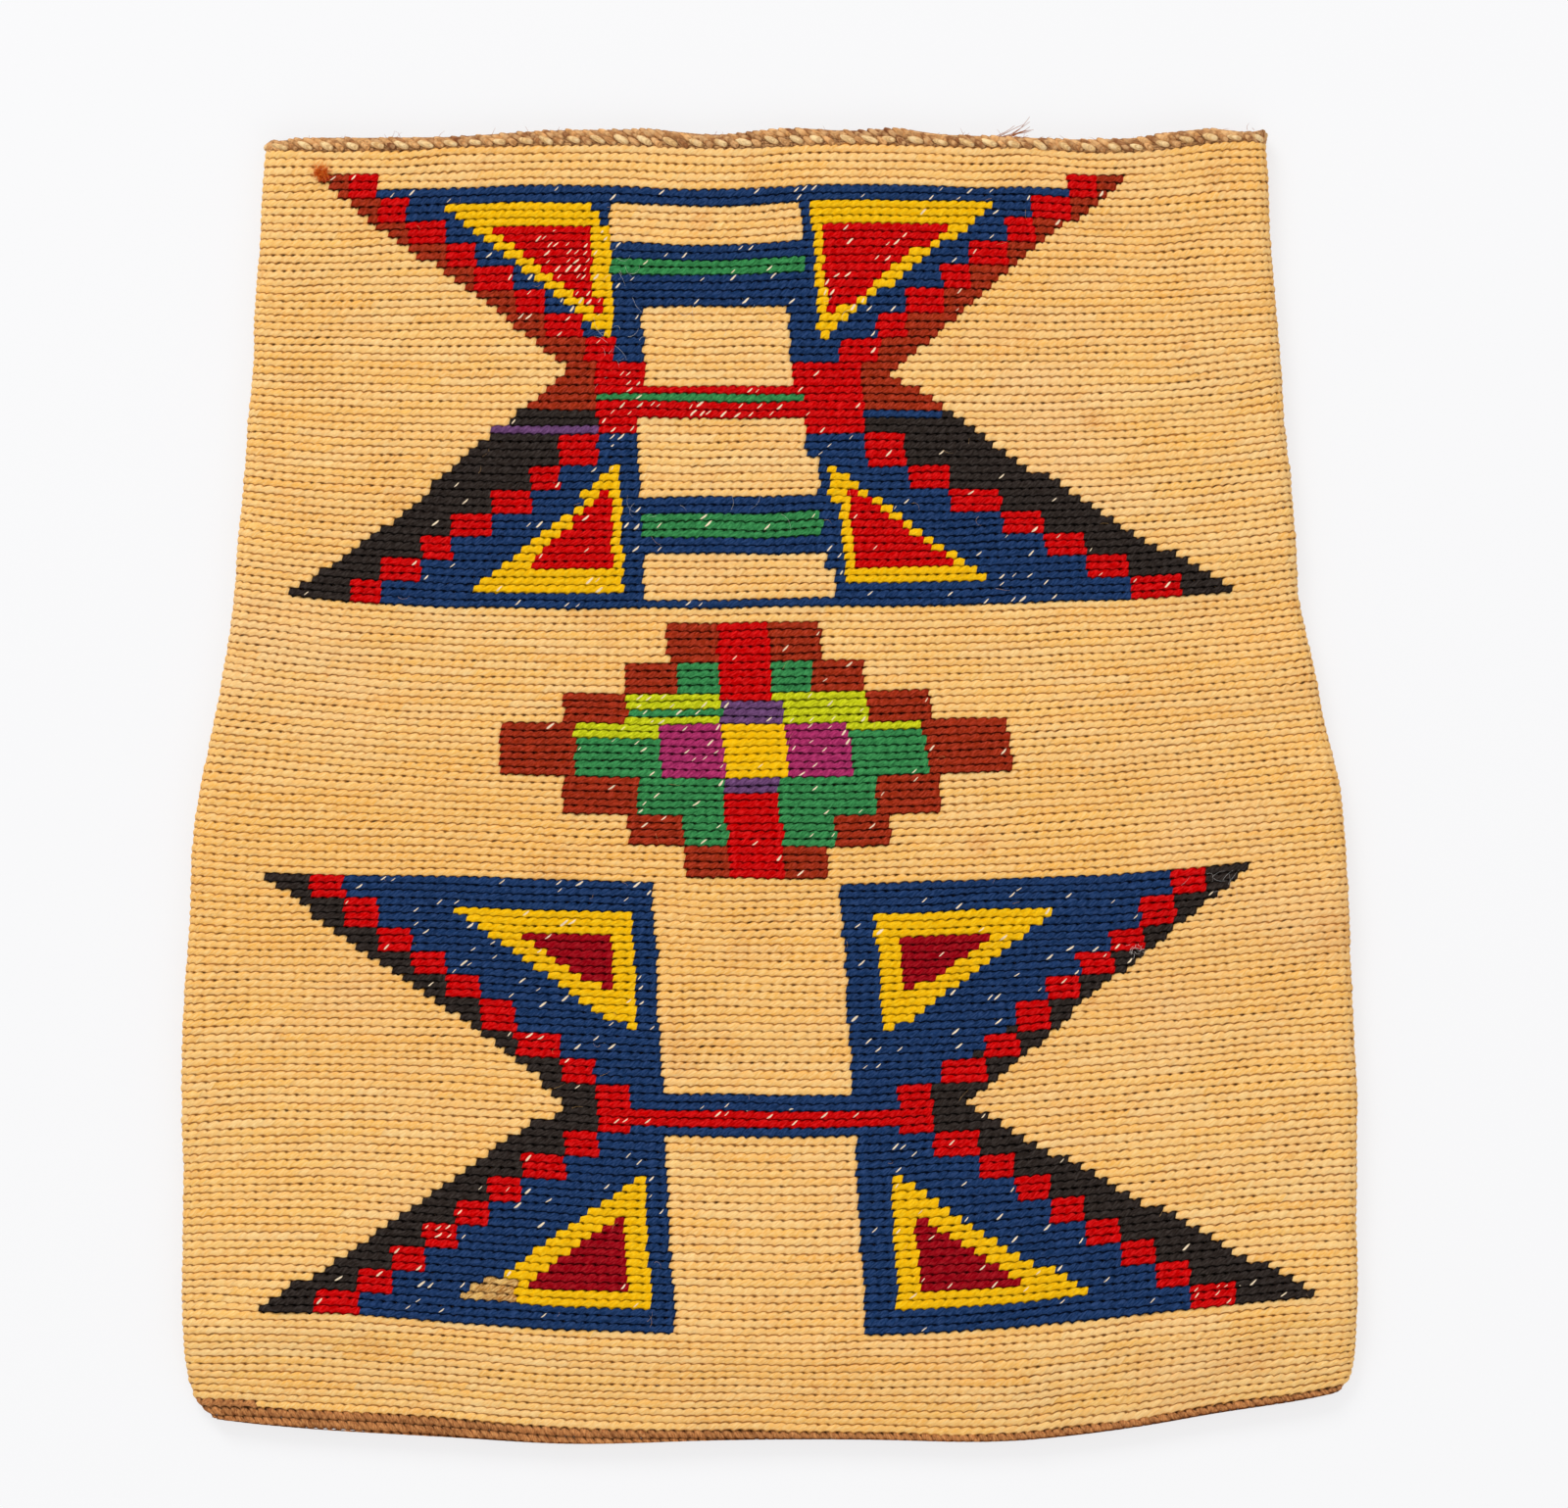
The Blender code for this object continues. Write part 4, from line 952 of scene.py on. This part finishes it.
# %% Cut the back
back_along = middles_along(COUNT_FIRST, COUNT_LAST)
back_row = np.broadcast_to(ROWS[:, None].astype(float), back_along.shape)
flat = flat_reach(back_along, back_row)
folds = 2 * fold_lengths(back_row)[1]
on_back = (np.abs(back_along) > flat + folds) & (np.abs(back_along) <= 2 * flat + folds + 2.0)
BACK_LINES, BACK_DIPS, BACK_SINK = (-0.54, 0.0, 0.54), (-1.2, -0.1, -1.2), -0.15
back_grid = row_grid(
    COUNT_FIRST, COUNT_LAST, 2, BACK_LINES, BACK_DIPS, np.full(back_along.shape, BACK_SINK),
    np.full((len(ROWS), COUNT_LAST - COUNT_FIRST + 1), SLANT),
)
for part, (first, last) in enumerate(((2, 82), (83, 164)), 1):
    rows_in = (back_row >= first) & (back_row <= last)
    piece = cut_from_grid(f"back_rows_{part}", back_grid, 2, on_back & rows_in, husk, ["twined_body"])
    print(piece.name, len(piece.data.polygons) * 2, "triangles")


# %% [markdown]
# ## The inside
#
# Inside, the plain cord of the twining shows. The lining follows the tube a wall's thickness in, with a
# ridge for every row, and closes a little above the bottom.

# %% Rings round the tube
def half_round(row, side):
    """How far round the tube the middle of the back lies on one side."""
    along = np.array([float(side)])
    return float((2 * flat_reach(along, row) + 2 * fold_lengths(row)[1])[0])


def ring_places(row, points):
    """Places round the tube, closer together on the folds."""
    left, right = half_round(row, -1), half_round(row, 1)
    places = []
    for side, whole in ((-1, left), (1, right)):
        flat_part = float(flat_reach(np.array([float(side)]), row)[0])
        around = np.concatenate([
            np.linspace(0, flat_part, points // 2, endpoint=False),
            np.linspace(flat_part, whole - flat_part, 12, endpoint=False),
            np.linspace(whole - flat_part, whole, points // 2 + 1),
        ])
        places.append(side * around)
    return np.concatenate([places[0][::-1], places[1][1:-1]])


def ring_count(places, stitch, value):
    """The count round a ring, where a stitch is so many millimetres long."""
    return np.stack([places / stitch, np.full(len(places), value)], axis=-1)


def tube_faces(rings, points, turned=False):
    low = np.arange(rings - 1)[:, None] * points + np.arange(points)[None, :]
    after = np.arange(rings - 1)[:, None] * points + (np.arange(points)[None, :] + 1) % points
    quads = np.stack([low, low + points, after + points, after], axis=-1).reshape(-1, 4)
    return quads[:, ::-1] if turned else quads


# %% Lining
LINING_STITCH = 4.0
rings, counts = [], []
for row in np.arange(1.3, 152.0, 0.5):
    places = ring_places(row, 24)
    ridge = 0.45 * abs(math.sin(math.pi * row))
    rings.append(wrap(places, np.full(len(places), row), np.full(len(places), -3.2 - ridge)))
    counts.append(ring_count(places, LINING_STITCH, row))
for row, share in ((154.0, 0.6), (156.0, 0.3), (158.0, 0.05)):
    places = ring_places(row, 24)
    ring = wrap(places, np.full(len(places), row), np.full(len(places), -3.3))
    ring[:, 2] = thickness_at(row) / 2 + (ring[:, 2] - thickness_at(row) / 2) * share
    rings.append(ring)
    counts.append(ring_count(places, LINING_STITCH, row))
lining = mesh_piece(
    "lining", np.concatenate(rings), tube_faces(len(rings), len(places), turned=True), lining_cord,
    {"weave": np.concatenate(counts)}, ["twined_body"],
)
print(lining.name, len(lining.data.polygons) * 2, "triangles")

# %% [markdown]
# ## The start rows
#
# The bag was begun at its bottom with rows of bare cord, plump and dark. Three of them show at the left
# and hardly one at the right, so each row is cut off where the bottom edge comes. A strip along that edge
# turns under, so that front and back meet.

# %% Start rows
START_ROWS = (1.6, 2.65, 1.2, 1.2, 1.0)
START_STITCH = 3.6
START_HEIGHT = 1.25
START_LINES = (-0.52, -0.28, 0.0, 0.28, 0.52)
START_DIPS = (-1.15, -0.3, 0.0, -0.3, -1.15)
whole_left, whole_right = half_round(165.0, -1), half_round(165.0, 1)
steps = int((whole_left + whole_right) / START_STITCH) * 4
around = np.linspace(-whole_left, whole_right, steps + 1)
flat_x = wrap(around, np.full(steps + 1, 165.0), 0.0)[:, 0]
tall = through_places(START_ROWS, np.clip(flat_x / 215.0, -1, 1))
pinched = np.array((1.0, 0.25, 0.0, 0.25))[np.arange(steps + 1) % 4]
points, counts, faces = [], [], []
for number in range(3):
    thick = np.repeat(HAND.normal(0.0, 0.18, steps // 4 + 1), 4)[: steps + 1]
    jog = np.interp(np.arange(steps + 1), np.arange(0, steps + 4, 4), HAND.normal(0.0, 0.3, steps // 4 + 1))
    grid = []
    for line, dip in zip(START_LINES, START_DIPS):
        shifted = around + line * 2.6 + (0.0, 1.8, 0.7)[number] + jog
        row = LAST_ROW + 0.45 + np.minimum(START_HEIGHT * (number + 0.5 + line * (1 - 0.15 * pinched)), tall)
        grid.append(wrap(shifted, row, dip + thick * (1 - pinched) - 1.05 * pinched))
    lines = np.broadcast_to(np.array(START_LINES) + 200 + number, (steps + 1, 5))
    counts.append(np.stack([np.repeat(np.arange(steps + 1) / 4.0, 5), lines.ravel()], axis=-1))
    low = (np.arange(steps)[:, None] * 5 + np.arange(4)[None, :]).ravel() + number * 5 * (steps + 1)
    faces.append(np.stack([low, low + 1, low + 6, low + 5], axis=-1))
    points.append(np.stack(grid, axis=1).reshape(-1, 3))
turned = []
for turn in (0.0, 0.5, 1.0, 1.5):
    row = LAST_ROW + 0.38 + tall + 0.05 * math.sin(turn)
    turned.append(wrap(around, row, -0.4 - 0.5 * pinched - (START_DEPTH / 2 - 0.4) * (1 - math.cos(turn))))
lines = np.broadcast_to(np.array((203.6, 203.8, 204.0, 204.2)), (steps + 1, 4))
counts.append(np.stack([np.repeat(np.arange(steps + 1) / 4.0, 4), lines.ravel()], axis=-1))
low = (np.arange(steps)[:, None] * 4 + np.arange(3)[None, :]).ravel() + 15 * (steps + 1)
faces.append(np.stack([low, low + 1, low + 5, low + 4], axis=-1))
points.append(np.stack(turned, axis=1).reshape(-1, 3))
start_rows = mesh_piece("start_rows", np.concatenate(points), np.concatenate(faces), plain_cord,
                        {"weave": np.concatenate(counts)}, ["start_band"])
cut_from_grid("start_corner", front_grid, 4, on_front & (colour_of == 1), plain_cord,
              ["start_band"])
print(start_rows.name, len(start_rows.data.polygons) * 2, "triangles")

# %% [markdown]
# ## The rim
#
# The mouth is finished with cord sewn over the edge. Brown lumps lie over the top and slant down to the
# right, and under them pale ovals take turns with small brown ones. Each lump is a slightly flattened
# ball, set along the edge of the tube at the front, round the folds and at the back.

# %% Lump maker
SEAT = FIRST_ROW - 0.6
around_angles = np.linspace(0, 2 * math.pi, 10, endpoint=False)
LUMP_RINGS = np.linspace(-0.92, 0.92, 6)


def lump(place, along, up, out, sizes, tilt):
    """Points and count of one lump: its long way leans down to the right by tilt."""
    forward = along * math.cos(tilt) - up * math.sin(tilt)
    upward = along * math.sin(tilt) + up * math.cos(tilt)
    points, counts = [], []
    for end in (-1.0, 1.0):
        points.append(place + forward * sizes[0] * end)
        counts.append((end * 0.5, 0.0))
    for ring in LUMP_RINGS:
        round_size = math.sqrt(1 - ring * ring) ** 0.8
        for angle in around_angles:
            points.append(place + forward * sizes[0] * ring + upward * sizes[1] * round_size * math.sin(angle)
                          + out * sizes[2] * round_size * math.cos(angle))
            counts.append((ring * 0.5, math.cos(angle)))
    return points, counts


def lump_faces():
    sides, rings = len(around_angles), len(LUMP_RINGS)
    faces = []
    for j in range(sides):
        k = (j + 1) % sides
        faces.append((0, 2 + j, 2 + k, 2 + k))
        last = 2 + (rings - 1) * sides
        faces.append((1, last + k, last + j, last + j))
        for i in range(rings - 1):
            a, b = 2 + i * sides, 2 + (i + 1) * sides
            faces.append((a + j, b + j, b + k, a + k))
    return [face[:3] if face[2] == face[3] else face for face in faces]


def mouth_frame(along, up, out):
    """A place on the rim and its three directions: along the rim, up and outward."""
    row = SEAT - up / ROW_PITCH
    at = np.array([along - 0.4, along + 0.4, along, along])
    outs = np.array([out, out, out, out + 1.0])
    before, after, here, further = wrap(at, np.full(4, row), outs)
    forward = (after - before) / np.linalg.norm(after - before)
    return here, forward, np.array([0.0, 1.0, 0.0]), further - here


# %% [markdown]
# The top edge of the real rim isn't straight: it rises in two low bumps and rounds down at the corners.
# The heights below, in millimetres from the middle and up, follow the photographed edge.

# %% Place the lumps
TOP_WAVE = (
    (-192, -2.6), (-186, -0.6), (-173, 0.7), (-143, 0.1), (-120, -0.4), (-84, 1.1), (-57, 1.6), (-45, 2.4),
    (-33, 1.4), (-22, 0.4), (-11, 0.9), (0, 2.0), (12, 2.2), (24, 1.2), (36, 1.0), (50, 2.2), (65, 0.2),
    (110, 0.0), (139, 1.0), (154, 1.9), (169, 0.8), (182, -1.2), (190, -3.4),
)


def wave_at(place):
    xs, ys = zip(*TOP_WAVE)
    return float(np.interp(place[0], xs, ys)) if place[2] > DEPTH / 2 else 0.0


rim_left, rim_right = half_round(0.0, -1), half_round(0.0, 1)
upper, pale, small, inner = [], [], [], []
OVER_STEP, PALE_STEP = 3.1, 9.3
seats = np.arange(-rim_left, rim_right, OVER_STEP)
for number, spot in enumerate(seats + HAND.normal(0, 0.3, len(seats))):
    place, forward, up, out = mouth_frame(spot, 2.3, -1.6)
    place = place + up * (wave_at(place) + HAND.normal(0, 0.12))
    long, tall = HAND.uniform(3.4, 4.0), HAND.uniform(1.2, 1.5)
    upper.append((place, forward, up, out, (long, tall, 2.0), math.radians(HAND.uniform(20, 30))))
    if number % 2:
        continue
    place, forward, up, out = mouth_frame(spot, 1.5, -3.3)
    inner.append((place, forward, up, out, (3.6, 1.7, 1.0), math.radians(20)))
seats = np.arange(-rim_left, rim_right, PALE_STEP)
for spot in seats + HAND.normal(0, 0.6, len(seats)):
    place, forward, up, out = mouth_frame(spot, 1.4, -0.5)
    place = place + up * (0.3 * wave_at(place) + HAND.normal(0, 0.12))
    pale.append((place, forward, up, out, (HAND.uniform(2.7, 3.7), HAND.uniform(1.1, 1.45), 1.5),
                 math.radians(HAND.uniform(8, 28))))
    place, forward, up, out = mouth_frame(spot + 4.75, 1.3, -0.7)
    small.append((place, forward, up, out, (HAND.uniform(2.3, 3.0), 1.25, 1.3),
                  math.radians(HAND.uniform(25, 40))))
print("lumps:", len(upper), len(pale), len(small), len(inner))

# %% Rim materials
rim_brown = make_cord("rim_brown", screen(226, 164, 100), screen(134, 76, 40), screen(80, 44, 20),
                      screen(246, 198, 138), 6.0)
rim_pale = make_cord("rim_pale", screen(242, 204, 144), screen(226, 180, 116), screen(150, 98, 50),
                     screen(252, 224, 172), 6.0)


ABOVE_FLOOR = 0.03


def finish_rim(name, lumps, material, nodes):
    points, counts, faces, pattern = [], [], [], lump_faces()
    for number, settings in enumerate(lumps):
        more, more_counts = lump(*settings)
        faces += [[i + len(points) for i in face] for face in pattern]
        points += more
        counts += [(number + 0.5 + 0.3 * r, 7 * number + 0.9 * s) for s, r in more_counts]
    points = np.array(points)
    points[:, 2] = np.maximum(points[:, 2], ABOVE_FLOOR)
    return mesh_piece(name, points, faces, material, {"weave": counts}, nodes)


finish_rim("rim_over", upper, rim_brown, ["rim_cord"])
finish_rim("rim_pale", pale, rim_pale, ["rim_binding"])
finish_rim("rim_between", small, rim_brown, ["rim_binding"])
finish_rim("rim_inside", inner, rim_brown, ["rim_binding"])

# %% Rim core
CORE_STITCH = 3.0
section = [(-0.8, -0.9), (1.5, -0.7), (3.4, -0.9), (4.1, -1.9), (3.4, -3.2), (1.5, -3.4), (-0.8, -3.2)]
rings, counts = [], []
for up, out in section + section[:1]:
    places = ring_places(SEAT - up / ROW_PITCH, 60)
    ring = wrap(places, np.full(len(places), SEAT - up / ROW_PITCH), np.full(len(places), out))
    ring[:, 1] += np.array([wave_at(point) for point in ring]) * max(up, 0.0) / 4.5
    rings.append(ring)
    counts.append(ring_count(places, CORE_STITCH, up))
core = mesh_piece("rim_core", np.concatenate(rings), tube_faces(len(rings), len(places), turned=True),
                  rim_brown, {"weave": np.concatenate(counts)}, ["rim_binding", "rim_cord"])
print(core.name, len(core.data.polygons) * 2, "triangles")

# %% [markdown]
# ## Loose fibres
#
# The bag has been handled for a long time. Fine hairs stand off the cloth, pale tangles lie on the wool,
# an orange end of wool frays out beside the top left corner of the design, and a wisp of hemp sticks up
# from the rim. Each fibre is a thin three-sided thread that wanders a little as it goes.

# %% Fibre maker
FIBRE_RINGS = 7


def fibre(start, heading, length, curl, rise, thick):
    """Points of one thread that starts at a place round the tube and row, and heads off at an angle."""
    along, row = start
    ring = []
    for i in range(FIBRE_RINGS):
        share = i / (FIBRE_RINGS - 1)
        out = 0.5 + rise[0] + (rise[1] - rise[0]) * share
        centre = wrap(np.array([along]), np.array([row]), out)[0]
        side = np.array([-math.sin(heading), math.cos(heading), 0.0])
        size = thick * (1.0 - 0.7 * share)
        ring += [centre + side * size, centre - side * size, centre + np.array([0.0, 0.0, 1.5 * size])]
        along += math.cos(heading) * length / (FIBRE_RINGS - 1)
        row -= math.sin(heading) * length / (FIBRE_RINGS - 1) / ROW_PITCH
        heading += curl / (FIBRE_RINGS - 1) + HAND.normal(0, 0.12)
    return ring


def make_fibres(name, settings, colour, nodes):
    points, faces = [], []
    for setting in settings:
        base = len(points)
        points += fibre(*setting)
        for i in range(FIBRE_RINGS - 1):
            low = base + 3 * i
            faces += [(low + a, low + b, low + b + 3, low + a + 3) for a, b in ((0, 1), (1, 2), (2, 0))]
    material = bpy.data.materials.new(name)
    material.use_nodes = True
    shader = material.node_tree.nodes["Principled BSDF"]
    shader.inputs["Base Color"].default_value = colour
    shader.inputs["Roughness"].default_value = 0.8
    shader.inputs["Specular IOR Level"].default_value = 0.1
    return mesh_piece(name, points, faces, material, None, nodes)


# %% Strew the fibres
def strewn(number, middle, spread, length, thick, rise=(0.2, 0.9)):
    """Settings for fibres scattered round a stitch and row, headed anywhere."""
    settings = []
    for _ in range(number):
        stitch, row = HAND.normal(0, 1, 2) * spread + middle
        place = float(along_at(np.array([stitch]), np.array([row]))[0])
        settings.append(((place, row), HAND.uniform(0, 2 * math.pi), length * HAND.uniform(0.5, 1.4),
                         HAND.uniform(-2.5, 2.5), rise, thick))
    return settings


scattered = [setting for _ in range(150)
             for setting in strewn(1, (HAND.uniform(-46, 48), HAND.uniform(4, 162)), (1, 1), 4.0, 0.04)]
make_fibres("fine_hairs", scattered, screen(226, 178, 116), ["twined_body"])
tangles = strewn(14, (-10.5, 26.5), (1.2, 1.5), 6.0, 0.06) + strewn(9, (-10.0, 16.0), (1.0, 2.4), 7.0, 0.05)
tangles += strewn(10, (1.5, 22.0), (6.0, 1.2), 6.0, 0.045) + strewn(8, (-2.0, 47.0), (7.0, 1.2), 6.0, 0.045)
tangles += strewn(16, (34.2, 105.5), (0.35, 0.4), 2.5, 0.07) + strewn(10, (41.9, 98.0), (1.2, 1.0), 5.0, 0.04)
make_fibres("pale_tangles", tangles, screen(214, 210, 206), ["twined_body"])
frayed = strewn(150, (-40.9, 4.3), (0.30, 0.22), 1.9, 0.13, (0.2, 1.2))
make_fibres("orange_end", frayed, screen(206, 78, 12), ["twined_body"])
halo = strewn(70, (-40.9, 4.1), (0.35, 0.28), 3.4, 0.06, (0.4, 1.8))
make_fibres("orange_halo", halo, screen(255, 142, 50), ["twined_body"])
wisp = [((82.0 + HAND.uniform(-1, 5), 0.6), math.radians(HAND.uniform(12, 27)), HAND.uniform(10, 18),
         HAND.uniform(-0.1, 0.4), (-3.0, -1.0), 0.2) for _ in range(14)]
wisp += [((HAND.uniform(-185, 185), 0.1), math.radians(HAND.uniform(30, 150)), HAND.uniform(1.5, 3.5),
          HAND.uniform(-1, 1), (-1.5, -1.0), 0.08) for _ in range(45)]
make_fibres("rim_wisps", wisp, screen(172, 96, 30), ["rim_cord"])
print("fibres:", len(scattered), len(tangles), len(frayed), len(halo), len(wisp))

# %% [markdown]
# ## Floor and light
#
# The floor is nearly white. The camera sees most of it as evenly bright as a lit table, with only a trace
# of the soft shadow. One wide lamp stands beyond the mouth, a little to the left, so that each row is paler
# on its upper side, and a weak one stands across from it. The pale sky round about does the rest.

# %% Floor
floor_mesh = bpy.data.meshes.new("floor")
floor_mesh.from_pydata([(-3, -3, -0.0002), (3, -3, -0.0002), (3, 3, -0.0002), (-3, 3, -0.0002)], [],
                       [(0, 1, 2, 3)])
floor = bpy.data.objects.new("floor", floor_mesh)
bpy.context.scene.collection.objects.link(floor)
floor_finish = bpy.data.materials.new("floor_white")
floor_finish.use_nodes = True
floor_tree = floor_finish.node_tree
paper = floor_tree.nodes["Principled BSDF"]
paper.inputs["Base Color"].default_value = (0.86, 0.86, 0.87, 1)
paper.inputs["Roughness"].default_value = 0.9
paper.inputs["Specular IOR Level"].default_value = 0.0
bright = floor_tree.nodes.new("ShaderNodeEmission")
bright.inputs["Color"].default_value = (0.953, 0.953, 0.962, 1)
straight = floor_tree.nodes.new("ShaderNodeLightPath")
lit = floor_tree.nodes.new("ShaderNodeMixShader")
floor_tree.links.new(maths(floor_tree, "MULTIPLY", straight.outputs["Is Camera Ray"], 0.75), lit.inputs[0])
floor_tree.links.new(paper.outputs[0], lit.inputs[1])
floor_tree.links.new(bright.outputs[0], lit.inputs[2])
floor_tree.links.new(lit.outputs[0], floor_tree.nodes["Material Output"].inputs["Surface"])
floor_mesh.materials.append(floor_finish)

# %% Lamps and sky
def wide_lamp(name, place, size, watts):
    data = bpy.data.lights.new(name, "AREA")
    data.energy, data.size = watts, size
    lamp = bpy.data.objects.new(name, data)
    lamp.location = place
    lamp.rotation_euler = (-Vector(place)).to_track_quat("-Z", "Y").to_euler()
    bpy.context.scene.collection.objects.link(lamp)


wide_lamp("key", (-1.6, 3.4, 3.0), 2.0, 124.0)
wide_lamp("fill", (1.8, -2.2, 3.4), 2.5, 22.0)

world = bpy.data.worlds.new("pale_sky")
world.use_nodes = True
sky = world.node_tree
glow = sky.nodes["Background"]
glow.inputs["Color"].default_value = (1.0, 1.0, 1.0, 1.0)
glow.inputs["Strength"].default_value = 0.68
white = sky.nodes.new("ShaderNodeBackground")
seen = sky.nodes.new("ShaderNodeLightPath")
mixed = sky.nodes.new("ShaderNodeMixShader")
either = maths(sky, "MAXIMUM", seen.outputs["Is Camera Ray"], seen.outputs["Is Glossy Ray"])
sky.links.new(maths(sky, "MAXIMUM", either, seen.outputs["Is Transmission Ray"]), mixed.inputs[0])
sky.links.new(glow.outputs[0], mixed.inputs[1])
sky.links.new(white.outputs[0], mixed.inputs[2])
white.inputs["Color"].default_value = (1.0, 1.0, 1.0, 1.0)
white.inputs["Strength"].default_value = 1.0
sky.links.new(mixed.outputs[0], sky.nodes["World Output"].inputs["Surface"])
bpy.context.scene.world = world
bpy.context.scene.view_settings.view_transform = "Standard"
